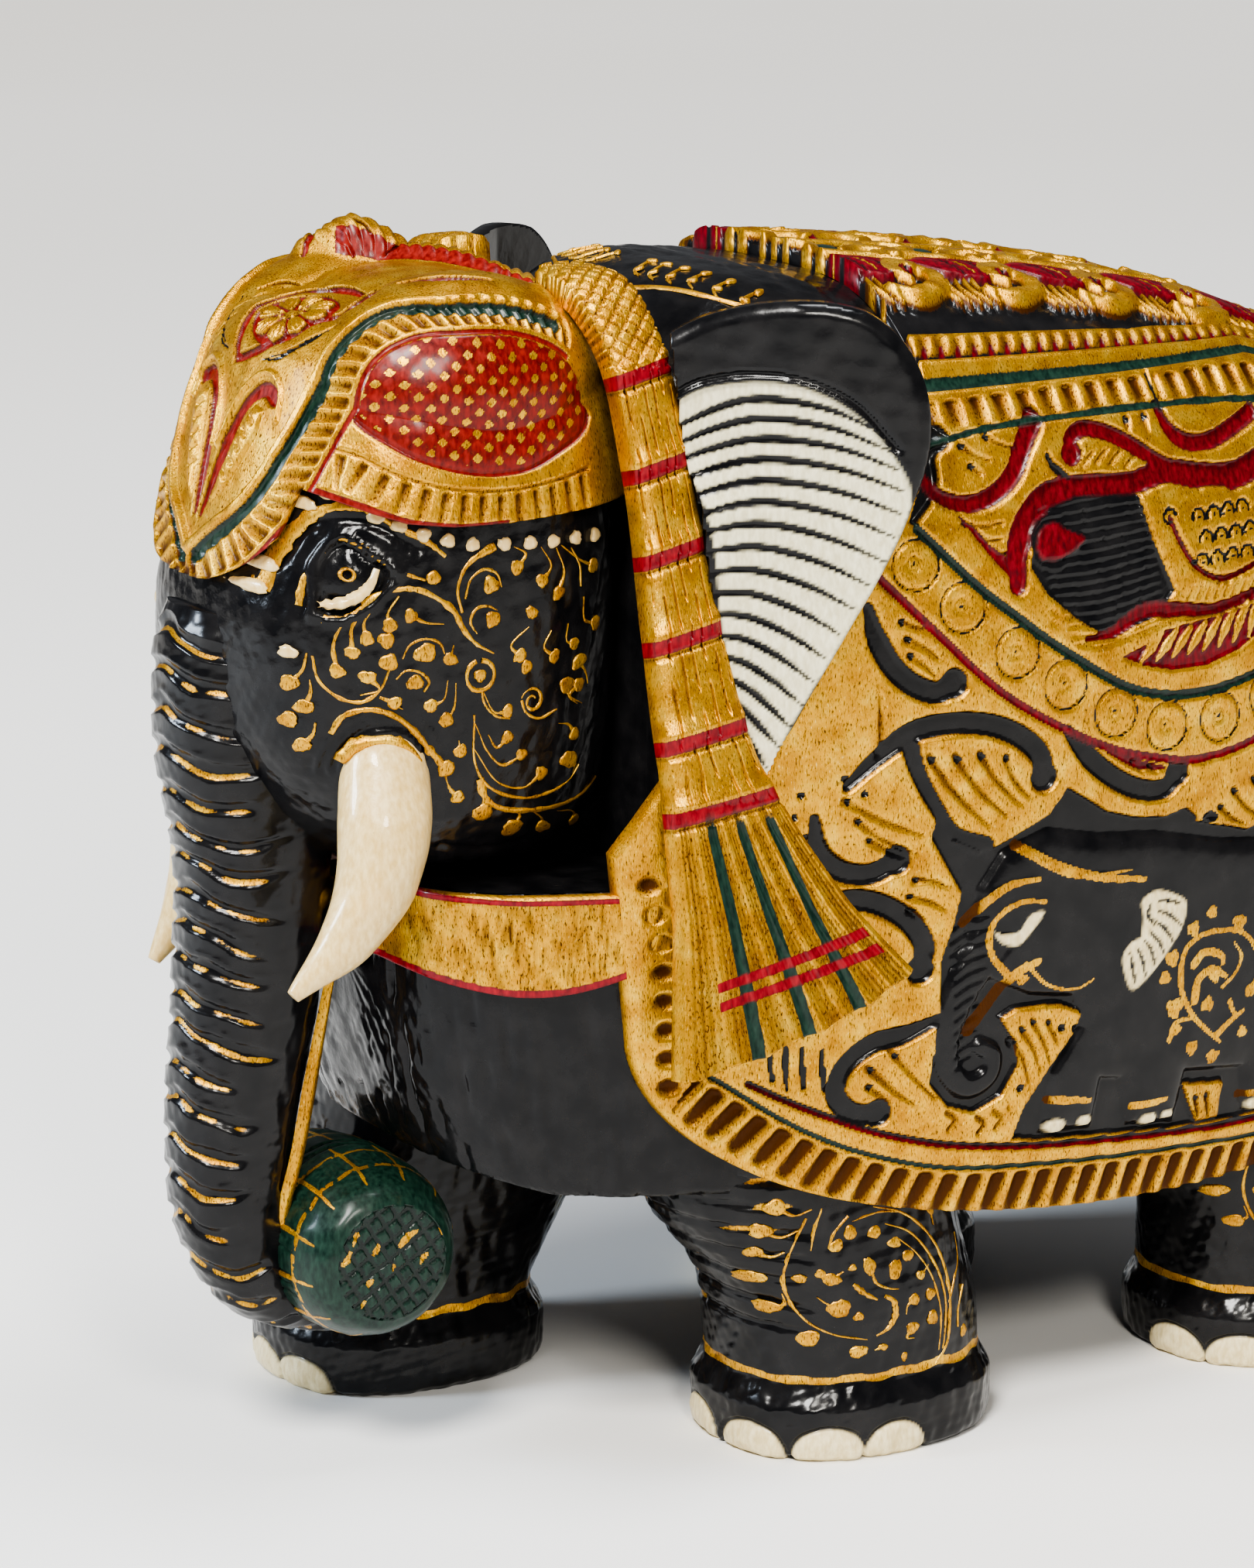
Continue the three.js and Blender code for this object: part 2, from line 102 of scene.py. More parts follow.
class Carving:
    """Points (u, v) of a sheet, how high each stands, and which paint is on it."""

    def __init__(self, u, v, paint):
        self.u, self.v = np.ravel(u).astype(float), np.ravel(v).astype(float)
        self.height = np.zeros_like(self.u)
        self.paint = {name: np.zeros_like(self.u) for name in PAINTS}
        self.cover(paint, slice(None), 1.0)

    def cover(self, paint, spots, share):
        """Lays a paint over what is there. "black" is the bare lacquer."""
        if paint is None:
            return
        for name, amount in self.paint.items():
            amount[spots] = amount[spots] * (1 - share) + (share if name == paint else 0)

    def near(self, line, reach):
        """Points within reach of a line: where, signed distance, and length along it.

        A list of given points is smoothed first. An array is a finished line.
        """
        line = line if isinstance(line, np.ndarray) else curve(*line)
        low, high = line.min(0) - reach, line.max(0) + reach
        spots = np.flatnonzero(
            (self.u > low[0]) & (self.u < high[0]) & (self.v > low[1]) & (self.v < high[1])
        )
        u, v = self.u[spots], self.v[spots]
        best, along = np.full(len(spots), 1e9), np.zeros(len(spots))
        run = 0.0
        for (u0, v0), (u1, v1) in zip(line[:-1], line[1:]):
            du, dv = u1 - u0, v1 - v0
            length = math.hypot(du, dv) + 1e-9
            t = np.clip(((u - u0) * du + (v - v0) * dv) / length**2, 0, 1)
            ou, ov = u - u0 - t * du, v - v0 - t * dv
            gap = np.hypot(ou, ov)
            closer = gap < np.abs(best)
            best = np.where(closer, np.where(du * ov - dv * ou < 0, -gap, gap), best)
            along = np.where(closer, run + t * length, along)
            run += length
        return spots, best, along, run

    def width_at(self, half, along, run):
        """The half width along a line, from one number or a list of them."""
        return np.interp(along / run, np.linspace(0, 1, len(half)), half) if np.ndim(half) else half

    def channel(self, line, half, depth, paint=None, soft=0.5):
        """A band along a line at its own level, below the face or, with depth < 0, above it."""
        spots, gap, along, run = self.near(line, np.max(half) + soft)
        share = fade((self.width_at(half, along, run) - np.abs(gap)) / soft + 0.5)
        self.height[spots] = self.height[spots] * (1 - share) - depth * share
        self.cover(paint, spots, share)

    def stroke(self, line, half, paint):
        """Paint brushed along a line, with next to no thickness."""
        spots, gap, along, run = self.near(line, np.max(half) + 0.4)
        share = fade((self.width_at(half, along, run) - np.abs(gap)) / 0.5 + 0.5)
        self.height[spots] += 0.1 * share
        self.cover(paint, spots, share)

    def dab(self, u, v, radius, paint):
        """A dab of paint with a wavy outline."""
        away = np.hypot(self.u - u, self.v - v)
        spots = np.flatnonzero(away < 1.6 * radius)
        angle = np.arctan2(self.v[spots] - v, self.u[spots] - u)
        edge = radius * (1 + 0.14 * np.sin(3 * angle + u) + 0.08 * np.sin(5 * angle + v))
        share = fade((edge - away[spots]) / 0.5 + 0.5)
        self.height[spots] += 0.14 * share
        self.cover(paint, spots, share)

    def gouge(self, line, half, depth, paint=None):
        """A rounded groove along a line, or a rounded bead with depth < 0."""
        spots, gap, along, run = self.near(line, np.max(half))
        share = 1 - np.clip(gap / np.maximum(self.width_at(half, along, run), 0.05), -1, 1) ** 2
        self.height[spots] -= depth * share
        self.cover(paint, spots, fade(2.2 * share))

    def inside(self, outline):
        """True for each point inside a closed outline."""
        odd = np.zeros(len(self.u), bool)
        for (u0, v0), (u1, v1) in zip(outline, np.roll(outline, -1, 0)):
            if v0 != v1:
                cross = (v0 > self.v) != (v1 > self.v)
                odd ^= cross & (self.u < (u1 - u0) * (self.v - v0) / (v1 - v0) + u0)
        return odd

    def patch(self, outline, depth, paint=None, soft=0.5, swell=0.0):
        """An area at its own level. swell rounds it up towards its middle."""
        outline = np.asarray(outline, float)
        closed = np.vstack([outline, outline[:1]])
        reach = 14.0
        spots, gap, _, _ = self.near(closed, reach)
        signed = np.where(self.inside(outline)[spots], np.abs(gap), -np.abs(gap))
        share = fade(signed / soft + 0.5)
        level = -depth + swell * (1 - np.exp(-np.clip(signed, 0, None) / 2.5))
        self.height[spots] = self.height[spots] * (1 - share) + level * share
        self.cover(paint, spots, share)

    def dot(self, u, v, radius, depth, paint=None, stretch=1.0):
        """A round hollow or, with depth < 0, a round blob."""
        gap = np.hypot((self.u - u) / stretch, self.v - v) / radius
        spots = np.flatnonzero(gap < 1)
        share = 1 - gap[spots] ** 2
        self.height[spots] -= depth * share
        self.cover(paint, spots, fade(3 * share))

    def pockets(self, line, offset, length, pitch, depth, paint=None, slant=0.0, fill=0.74):
        """A row of scooped pockets beside a line, from offset to offset + length."""
        reach = abs(offset) + length + 1
        spots, gap, along, run = self.near(line, reach)
        down = gap - offset
        inside = (down > 0) & (down < length) & (along > 0) & (along < run)
        spots, down, along = spots[inside], down[inside], along[inside]
        cell = ((along + slant * down) / pitch) % 1 - 0.5
        width = fill / 2 * np.clip(1.15 - (down / length) ** 4 * 0.35, 0.3, 1)
        across = np.clip(1 - (cell / width) ** 2, 0, 1)
        ends = fade(down / (0.16 * length)) * fade((length - down) / (0.10 * length))
        scoop = across * ends * (1 - 0.55 * down / length)
        self.height[spots] -= depth * scoop
        self.cover(paint, spots, fade(2 * scoop - 0.7))


# ---- Meshes ----

def edges_of(faces):
    """The boundary edges of a set of faces, in their faces' own direction."""
    pairs = np.vstack([faces[:, [k, (k + 1) % faces.shape[1]]] for k in range(faces.shape[1])])
    key = np.sort(pairs, axis=1)
    _, index, count = np.unique(key, axis=0, return_index=True, return_counts=True)
    return pairs[index[count == 1]]


def make(name, points, faces, material, attributes=None, flip=False):
    """A smooth mesh piece from millimetre points, riding on the figure's one body."""
    faces = [list(f)[::-1] for f in faces] if flip else [list(f) for f in faces]
    mesh = bpy.data.meshes.new(name)
    mesh.from_pydata((np.asarray(points) * MM).tolist(), [], faces)
    for key, values in (attributes or {}).items():
        layer = mesh.attributes.new(key, "FLOAT", "POINT")
        layer.data.foreach_set("value", np.ascontiguousarray(values, np.float32))
    mesh.polygons.foreach_set("use_smooth", np.ones(len(mesh.polygons), bool))
    mesh.materials.append(material)
    mesh.update()
    piece = bpy.data.objects.new(name, mesh)
    bpy.context.scene.collection.objects.link(piece)
    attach(piece, "root")
    return piece


def grid_faces(rows, columns, wrap=False):
    """Quads over a grid of points. With wrap, the last column joins the first."""
    across = columns if wrap else columns - 1
    r, c = np.meshgrid(np.arange(rows - 1), np.arange(across), indexing="ij")
    r, c = r.ravel(), c.ravel()
    after = (c + 1) % columns
    return np.column_stack([r * columns + c, r * columns + after, (r + 1) * columns + after,
        (r + 1) * columns + c])


def cut_sheet(outline, step):
    """A grid cut to an outline, with its edge points drawn on to it: points and quads."""
    outline = np.asarray(outline, float)
    low, high = outline.min(0) - step, outline.max(0) + step
    us, vs = np.arange(low[0], high[0], step), np.arange(low[1], high[1], step)
    v, u = np.meshgrid(vs, us, indexing="ij")
    faces = grid_faces(len(vs), len(us))
    middle_u, middle_v = u.ravel()[faces].mean(1), v.ravel()[faces].mean(1)
    faces = faces[Carving(middle_u, middle_v, None).inside(outline)]
    used, faces = np.unique(faces, return_inverse=True)
    faces = faces.reshape(-1, 4)
    points = np.column_stack([u.ravel()[used], v.ravel()[used]])
    rim = np.unique(edges_of(faces))
    closed = np.vstack([outline, outline[:1]])
    starts, ways = closed[:-1], np.diff(closed, axis=0)
    for index in rim:
        offset = points[index] - starts
        t = np.clip((offset * ways).sum(1) / np.maximum((ways**2).sum(1), 1e-9), 0, 1)
        spots = starts + t[:, None] * ways
        points[index] = spots[np.argmin(((spots - points[index]) ** 2).sum(1))]
    return points, faces


def walled(points, faces, inner):
    """Adds a wall from the edge of a sheet down to the same points on an inner surface."""
    rim = edges_of(faces)
    ids = np.unique(rim)
    place = {old: len(points) + k for k, old in enumerate(ids)}
    wall = [[b, a, place[a], place[b]] for a, b in rim]
    return np.vstack([points, inner[ids]]), [list(f) for f in faces] + wall, ids


def wall_marks(paint, height, rim):
    """Paints and hollows of a walled sheet. The wall's foot repeats the sheet's rim."""
    marks = {**paint, "depth": np.clip(-height, 0, DEEPEST)}
    return {key: np.concatenate([values, values[rim]]) for key, values in marks.items()}


def carved(name, work, faces, surface, inner, material, side=1):
    """A carved sheet as a piece: its face on surface(u, v, lift), its wall down to inner."""
    face = surface(work.u, work.v, work.height)
    back = surface(work.u, work.v, np.full_like(work.u, inner))
    points, faces, rim = walled(face, faces, back)
    marks = wall_marks(work.paint, work.height, rim)
    points = points * np.array([side, 1, 1])
    return make(name, points, faces, material, marks, flip=side < 0)


# ---- Materials ----

class Nodes:
    """A small helper to add and join nodes in a material or a node group."""

    def __init__(self, tree):
        self.tree = tree

    def add(self, kind, **settings):
        node = self.tree.nodes.new(kind)
        for key, value in settings.items():
            setattr(node, key, value)
        return node

    def join(self, source, target):
        self.tree.links.new(source, target)

    def attribute(self, name):
        return self.add("ShaderNodeAttribute", attribute_name=name).outputs["Fac"]

    def noise(self, scale, detail=3.0, stretch=None):
        """Noise in object space, in features about 1/scale metres across."""
        place = self.add("ShaderNodeTexCoord").outputs["Object"]
        if stretch:
            turn = self.add("ShaderNodeMapping")
            turn.inputs["Scale"].default_value = stretch
            self.join(place, turn.inputs["Vector"])
            place = turn.outputs["Vector"]
        node = self.add("ShaderNodeTexNoise")
        node.inputs["Scale"].default_value = scale
        node.inputs["Detail"].default_value = detail
        self.join(place, node.inputs["Vector"])
        return node.outputs["Fac"]

    def math(self, operation, a, b):
        node = self.add("ShaderNodeMath", operation=operation, use_clamp=True)
        for socket, value in zip(node.inputs, (a, b)):
            if isinstance(value, (int, float)):
                socket.default_value = value
            else:
                self.join(value, socket)
        return node.outputs[0]

    def mix(self, share, a, b, kind="RGBA"):
        """Blends a to b. Each may be a socket, a colour or a number."""
        node = self.add("ShaderNodeMix", data_type=kind)
        sockets = [s for s in node.inputs if s.enabled]
        for socket, value in zip(sockets, (share, a, b)):
            if isinstance(value, bpy.types.NodeSocket):
                self.join(value, socket)
            elif isinstance(value, tuple):
                socket.default_value = (*value, 1.0)
            else:
                socket.default_value = value
        return next(s for s in node.outputs if s.enabled)

    def ramp(self, value, *stops):
        """Colours at places from 0 to 1."""
        node = self.add("ShaderNodeValToRGB")
        stones = node.color_ramp.elements
        while len(stones) < len(stops):
            stones.new(0.5)
        for stone, (place, colour) in zip(stones, stops):
            stone.position, stone.color = place, (*colour, 1.0)
        self.join(value, node.inputs["Fac"])
        return node.outputs["Color"]

    def share(self, value, low, high):
        """Stretches the part of a value from low to high over 0 to 1."""
        node = self.add("ShaderNodeMapRange")
        node.inputs["From Min"].default_value = low
        node.inputs["From Max"].default_value = high
        self.join(value, node.inputs["Value"])
        return node.outputs["Result"]


def group(name, inputs, outputs):
    """An empty node group with named sockets, its helper, and its two end nodes."""
    tree = bpy.data.node_groups.new(name, "ShaderNodeTree")
    for label, kind in inputs:
        tree.interface.new_socket(name=label, in_out="INPUT", socket_type=kind)
    for label, kind in outputs:
        tree.interface.new_socket(name=label, in_out="OUTPUT", socket_type=kind)
    nodes = Nodes(tree)
    return tree, nodes, nodes.add("NodeGroupInput"), nodes.add("NodeGroupOutput")


COLOUR, NUMBER = "NodeSocketColor", "NodeSocketFloat"


def gilding():
    """Gold paint: brushed, with bright streaks of painted sheen, and brown and dull in the hollows as
    painted shade.
    """
    tree, n, start, end = group(
        "gilding", [("Hollow", NUMBER)], [("Color", COLOUR), ("Roughness", NUMBER), ("Height", NUMBER)]
    )
    brush = n.noise(2600, 5, (1, 1, 0.35))
    cloud = n.noise(160, 4)
    face = n.ramp(cloud, (0.3, (0.46, 0.205, 0.012)), (0.55, (0.68, 0.35, 0.024)), (0.8, (0.86, 0.54, 0.07)))
    # Bright brush streaks in a highlight colour: painted sheen.
    painted_sheen_face = n.mix(n.share(brush, 0.62, 0.8), face, (1.0, 0.76, 0.24))
    # Darker brush streaks, plus painted shade that browns the gold by the depth of its hollow.
    streaks_and_painted_shade = n.math("ADD", n.share(brush, 0.46, 0.3), n.share(start.outputs["Hollow"], 0.15, 1.1))
    n.join(n.mix(streaks_and_painted_shade, painted_sheen_face, (0.07, 0.022, 0.003)), end.inputs["Color"])
    dull = n.math("ADD", n.math("MULTIPLY", streaks_and_painted_shade, 0.3), 0.17)
    n.join(n.math("ADD", n.math("MULTIPLY", brush, 0.3), dull), end.inputs["Roughness"])
    n.join(brush, end.inputs["Height"])
    return tree


def brushwork():
    """Enamel put on by hand: streaky between two tones."""
    tree, n, start, end = group(
        "brushwork", [("Dark", COLOUR), ("Light", COLOUR)], [("Color", COLOUR), ("Roughness", NUMBER)]
    )
    streak = n.noise(900, 4, (1, 1, 0.4))
    node = n.add("ShaderNodeMix", data_type="RGBA")
    sockets = [s for s in node.inputs if s.enabled]
    n.join(n.share(streak, 0.35, 0.7), sockets[0])
    n.join(start.outputs["Dark"], sockets[1])
    n.join(start.outputs["Light"], sockets[2])
    n.join(next(s for s in node.outputs if s.enabled), end.inputs["Color"])
    n.join(n.math("ADD", n.math("MULTIPLY", streak, 0.35), 0.18), end.inputs["Roughness"])
    return tree


def lacquering():
    """Black lacquer: nearly even, with faint dust, small knife facets and pits."""
    tree, n, _, end = group(
        "lacquering", [], [("Color", COLOUR), ("Roughness", NUMBER), ("Height", NUMBER)]
    )
    cloud = n.noise(140, 4)
    dust = n.noise(3200, 2)
    base = n.ramp(cloud, (0.35, (0.0035, 0.0035, 0.0042)), (0.7, (0.010, 0.0095, 0.010)))
    n.join(n.mix(n.share(dust, 0.74, 0.82), base, (0.06, 0.065, 0.075)), end.inputs["Color"])
    n.join(n.math("ADD", n.math("MULTIPLY", cloud, 0.22), 0.10), end.inputs["Roughness"])
    facet = n.add("ShaderNodeTexVoronoi")
    facet.inputs["Scale"].default_value = 230
    n.join(n.add("ShaderNodeTexCoord").outputs["Object"], facet.inputs["Vector"])
    cut = n.math("MULTIPLY", facet.outputs["Distance"], 0.55)
    n.join(n.math("ADD", cut, n.math("MULTIPLY", n.noise(420, 3), 0.45)), end.inputs["Height"])
    return tree


GILDING, BRUSHWORK, LACQUERING = gilding(), brushwork(), lacquering()


def shader(name):
    """A new material, its node helper and its main shader."""
    material = bpy.data.materials.new(name)
    material.use_nodes = True
    return material, Nodes(material.node_tree), material.node_tree.nodes["Principled BSDF"]


def enamel(n, dark, light):
    """The colour and roughness of one hand-brushed enamel."""
    node = n.add("ShaderNodeGroup", node_tree=BRUSHWORK)
    node.inputs["Dark"].default_value = (*dark, 1)
    node.inputs["Light"].default_value = (*light, 1)
    return node


def relief(n, target, height, strength, distance):
    """Joins a height to a shader's normal through a bump."""
    bump = n.add("ShaderNodeBump")
    bump.inputs["Strength"].default_value = strength
    bump.inputs["Distance"].default_value = distance
    n.join(height, bump.inputs["Height"])
    n.join(bump.outputs["Normal"], target.inputs["Normal"])


ENAMELS = {
    "red": ((0.055, 0.001, 0.003), (0.17, 0.003, 0.009)),
    "green": ((0.003, 0.013, 0.009), (0.012, 0.036, 0.024)),
    "cream": ((0.62, 0.50, 0.27), (0.80, 0.70, 0.44)),
}


def paintwork(name, red=ENAMELS["red"], cream=ENAMELS["cream"]):
    """Black lacquer with the piece's own gold, red, green and cream paint over it."""
    material, n, target = shader(name)
    ground = n.add("ShaderNodeGroup", node_tree=LACQUERING)
    colour, rough = ground.outputs["Color"], ground.outputs["Roughness"]
    for paint, tones in (("red", red), ("green", ENAMELS["green"]), ("cream", cream)):
        coat, share = enamel(n, *tones), n.attribute(paint)
        colour = n.mix(share, colour, coat.outputs["Color"])
        rough = n.mix(share, rough, coat.outputs["Roughness"], "FLOAT")
    gilt, share = n.add("ShaderNodeGroup", node_tree=GILDING), n.attribute("gold")
    # The depth of each hollow browns the gold there: painted shade.
    n.join(n.attribute("depth"), gilt.inputs["Hollow"])
    ragged = n.share(n.math("ADD", share, n.math("MULTIPLY", n.noise(1500, 3), 0.5)), 0.62, 0.86)
    n.join(n.mix(ragged, colour, gilt.outputs["Color"]), target.inputs["Base Color"])
    n.join(n.mix(ragged, rough, gilt.outputs["Roughness"], "FLOAT"), target.inputs["Roughness"])
    n.join(n.math("MULTIPLY", ragged, 0.8), target.inputs["Metallic"])
    target.inputs["Coat Roughness"].default_value = 0.16
    target.inputs["Specular IOR Level"].default_value = 0.2
    n.join(n.mix(ragged, 0.14, 0.08, "FLOAT"), target.inputs["Coat Weight"])
    height = n.mix(ragged, ground.outputs["Height"], gilt.outputs["Height"], "FLOAT")
    relief(n, target, height, 0.35, 0.0004)
    return material


def lacquer():
    material, n, target = shader("black_lacquer")
    ground = n.add("ShaderNodeGroup", node_tree=LACQUERING)
    n.join(ground.outputs["Color"], target.inputs["Base Color"])
    n.join(ground.outputs["Roughness"], target.inputs["Roughness"])
    target.inputs["Specular IOR Level"].default_value = 0.16
    target.inputs["Coat Weight"].default_value = 0.14
    target.inputs["Coat Roughness"].default_value = 0.06
    relief(n, target, ground.outputs["Height"], 0.6, 0.0006)
    return material


def gold_leaf():
    material, n, target = shader("gold_strokes")
    gilt = n.add("ShaderNodeGroup", node_tree=GILDING)
    n.join(n.attribute("thin"), gilt.inputs["Hollow"])
    n.join(gilt.outputs["Color"], target.inputs["Base Color"])
    n.join(gilt.outputs["Roughness"], target.inputs["Roughness"])
    target.inputs["Metallic"].default_value = 0.75
    relief(n, target, gilt.outputs["Height"], 0.4, 0.0003)
    return material


def ivory():
    material, n, target = shader("ivory_paint")
    coat = enamel(n, (0.60, 0.41, 0.15), (0.76, 0.58, 0.28))
    stain = n.share(n.noise(70, 3), 0.55, 0.8)
    speck = n.share(n.noise(2300, 2), 0.72, 0.8)
    warm = n.mix(stain, coat.outputs["Color"], (0.72, 0.47, 0.17))
    n.join(n.mix(speck, warm, (0.22, 0.15, 0.07)), target.inputs["Base Color"])
    n.join(coat.outputs["Roughness"], target.inputs["Roughness"])
    target.inputs["Coat Weight"].default_value = 0.4
    relief(n, target, n.noise(500, 3), 0.25, 0.0004)
    return material


def bare_wood():
    material, n, target = shader("bare_wood")
    grain = n.noise(500, 5, (1, 1, 0.08))
    n.join(n.ramp(grain, (0.3, (0.30, 0.17, 0.08)), (0.7, (0.52, 0.33, 0.17))), target.inputs["Base Color"])
    n.join(n.math("ADD", n.math("MULTIPLY", grain, 0.3), 0.5), target.inputs["Roughness"])
    relief(n, target, grain, 0.3, 0.0003)
    return material


FIGURE_PAINT = paintwork("figure_paint")
LACQUER, STROKES, IVORY, BARE_WOOD = lacquer(), gold_leaf(), ivory(), bare_wood()
CLOTH_PAINT = paintwork("cloth_paint")
GOLD_PAINT = paintwork("gold_paint", red=((0.12, 0.002, 0.006), (0.28, 0.007, 0.014)))
HEADDRESS_PAINT = paintwork("headdress_paint", red=((0.10, 0.004, 0.003), (0.24, 0.013, 0.008)))
EAR_PAINT = paintwork("ear_paint", cream=((0.60, 0.55, 0.36), (0.78, 0.74, 0.54)))
GREEN_PAINT = paintwork("green_paint")


# ---- Forms: the same sections as the CAD part, drawn finely ----

# Stations along the torso and up the head: middle (y, z), and half width and half height or length.
TORSO = (
    (-124, 122, 14, 13), (-120, 124, 32, 37), (-106, 134, 48, 78), (-80, 139, 60, 116),
    (-45, 145, 70, 134), (0, 143, 77, 132), (45, 141, 79, 129), (90, 139, 77, 123),
    (127, 138, 70, 111), (149, 144, 57, 84), (158, 146, 41, 56), (162, 146, 18, 24),
)
HEAD = (
    (-99, 145, 18, 16), (-102, 149, 35, 30), (-107, 162, 45, 42), (-111, 182, 49, 49),
    (-111, 206, 50, 50), (-108, 230, 49, 47), (-106, 252, 45, 41.5), (-105, 266, 40, 37),
    (-104, 274, 34, 32), (-104, 278, 21, 19),
)
UNDERSIDE = ((-150, 108), (-130, 92), (-116, 77), (-94, 70), (-50, 68), (115, 68), (148, 84), (175, 112))
# In front of NECK_FACE the torso is cut level at SHOULDER, and the head is cut under its headdress.
NECK_FACE, SHOULDER = -68, 144
CROWN_CUT = 268.5


# How square each form's section is: 2 is an ellipse, and more is squarer.
TORSO_POWER, HEAD_POWER, LEG_POWER, TRUNK_POWER = 3.4, 2.6, 2.4, 2.2


def sections(stations, steps):
    """Centres (x, y, z) and half sizes of a form, finely stepped."""
    s = np.asarray(stations, float)
    return smooth(s[:, :3], steps), smooth(s[:, 3:5], steps)


TORSO_PATH, TORSO_SIZE = sections([(0, *row) for row in TORSO], 900)
HEAD_PATH, HEAD_SIZE = sections([(0, *row) for row in HEAD], 600)


def bulge(offset, half, power):
    """How far a rounded section reaches at an offset from its middle, as a share."""
    return (1 - np.clip(np.abs(offset / half), 0, 1) ** power) ** (1 / power)


def section_at(place, key, path, size, other):
    """A form's middle and its two half sizes where its path passes a place."""
    at = path[:, key]
    return np.interp(place, at, path[:, other]), *(np.interp(place, at, size[:, k]) for k in (0, 1))


def torso_side(y, z, lift=0.0):
    """A point on the flank, lift millimetres out from it."""
    middle, wide, high = section_at(y, 1, TORSO_PATH, TORSO_SIZE, 2)
    return np.column_stack([(wide + lift) * bulge(z - middle, high + lift, TORSO_POWER), y, z])


def torso_top(x, y, lift=0.0):
    """A point on the back, lift millimetres above it."""
    middle, wide, high = section_at(y, 1, TORSO_PATH, TORSO_SIZE, 2)
    return np.column_stack([x, y, middle + (high + lift) * bulge(x, wide + lift, TORSO_POWER)])


def head_side(y, z, lift=0.0):
    """A point on the cheek, lift millimetres out from it."""
    middle, wide, long = section_at(z, 2, HEAD_PATH, HEAD_SIZE, 1)
    return np.column_stack([(wide + lift) * bulge(y - middle, long + lift, HEAD_POWER), y, z])


def tube(stations, power, around, steps, rise=None):
    """A rounded form as a grid of points: rows along it, columns round it."""
    path, size = sections(stations, steps)
    tangent = np.gradient(path, axis=0)
    across = np.array([1.0, 0, 0])
    if rise is None:
        up = np.cross(tangent, across)
        up /= np.linalg.norm(up, axis=1)[:, None]
    else:
        up = np.tile(np.asarray(rise, float), (steps, 1))
    angle = np.linspace(0, 2 * math.pi, around, endpoint=False)
    bend = lambda value: np.sign(value) * np.abs(value) ** (2 / power)
    u, v = bend(np.cos(angle)), bend(np.sin(angle))
    points = (
        path[:, None] + u[None, :, None] * size[:, :1, None] * across
        + v[None, :, None] * size[:, 1:, None] * up[:, None]
    )
    return points, angle


def normals(points):
    """Outward directions of a wrapped grid of points."""
    along = np.gradient(points, axis=0)
    round_ = np.roll(points, -1, 1) - np.roll(points, 1, 1)
    out = np.cross(round_, along)
    out /= np.maximum(np.linalg.norm(out, axis=2), 1e-9)[:, :, None]
    middle = points.mean(1, keepdims=True)
    return out if ((points - middle) * out).sum() > 0 else -out


def closed_form(name, points, material, marks=None, replaces=None):
    """A wrapped grid of points closed at both ends."""
    rows, columns = points.shape[:2]
    faces = [list(f) for f in grid_faces(rows, columns, wrap=True)]
    flat = points.reshape(-1, 3)
    ends = np.array([points[0].mean(0), points[-1].mean(0)])
    first, last = rows * columns, rows * columns + 1
    for c in range(columns):
        after = (c + 1) % columns
        faces.append([first, after, c])
        faces.append([last, (rows - 1) * columns + c, (rows - 1) * columns + after])
    out = normals(points)
    row = rows // 2
    facing = np.cross(points[row, 1] - points[row, 0], points[row + 1, 1] - points[row, 1])
    flip = facing @ out[row, 0] < 0
    marks = {key: np.concatenate([np.ravel(values), [0, 0]]) for key, values in (marks or {}).items()}
    piece = make(name, np.vstack([flat, ends]), faces, material, marks, flip=flip)
    if replaces:
        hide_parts(replaces)
    return piece


def dented(points, depth=0.22, size=7.0, seed=3):
    """Knife facets: shallow flats left all over a hand-carved form."""
    x, y, z = (points[..., k] for k in range(3))
    bumps = lumps(x, y, z, size, seed) + 0.5 * lumps(x, y, z, size * 0.45, seed + 1)
    return points + normals(points) * (depth * np.clip(bumps, -1.5, 0.8))[..., None]


def torso_body():
    """The body blank, with coarse knife marks down its chest."""
    points, _ = tube([(0, *row) for row in TORSO], TORSO_POWER, 260, 300, (0, 0, 1))
    points = dented(points, 0.3)
    y = points[..., 1]
    chest = fade((-62 - y) / 10)
    grain = lumps(points[..., 0] * 2.2, y * 2.2, points[..., 2] * 0.35, 8, 12)
    points = points - normals(points) * (0.7 * chest * np.clip(grain, 0, 1.4) ** 2)[..., None]
    under = np.array(UNDERSIDE, float)
    points[..., 2] = np.maximum(points[..., 2], np.interp(y, under[:, 0], under[:, 1]))
    low = np.where(y < NECK_FACE, SHOULDER - 0.3, 999)
    points[..., 2] = np.minimum(points[..., 2], low)
    closed_form("torso_body", points, LACQUER, replaces="torso")


def eye_carving(work):
    """The eye: a hollow almond with a lidded ball, and the socket ring round the tusk."""
    work.patch(curve((-150, 213), (-147, 223), (-142, 228.5), (-137, 225), (-134, 220), (-139, 213.5),
        (-145, 211.5), (-150, 213)), 1.6, None, 1.2)
    work.dot(-142.4, 220.4, 6.4, -1.9, None, 1.05)
    work.channel([(-149, 212), (-147, 223.5), (-142.3, 229), (-136, 224.5), (-131, 220.5)], 0.8, -0.7)
    work.channel([(-149, 211.5), (-144, 210.6), (-138, 213.5), (-133.5, 218)], 0.9, -0.7)
    work.gouge([(-153, 222), (-147, 231), (-138, 232.5), (-127, 226)], 1.6, 0.8)
    for reach, deep in ((9.5, 0.9), (11.6, 0.6), (13.6, 0.5)):
        work.gouge(ring((-135, 177), reach, 0.5, 0.02), 0.9, deep)
    work.gouge([(-118, 155), (-108, 152.5), (-96, 153)], 1.2, 0.7)


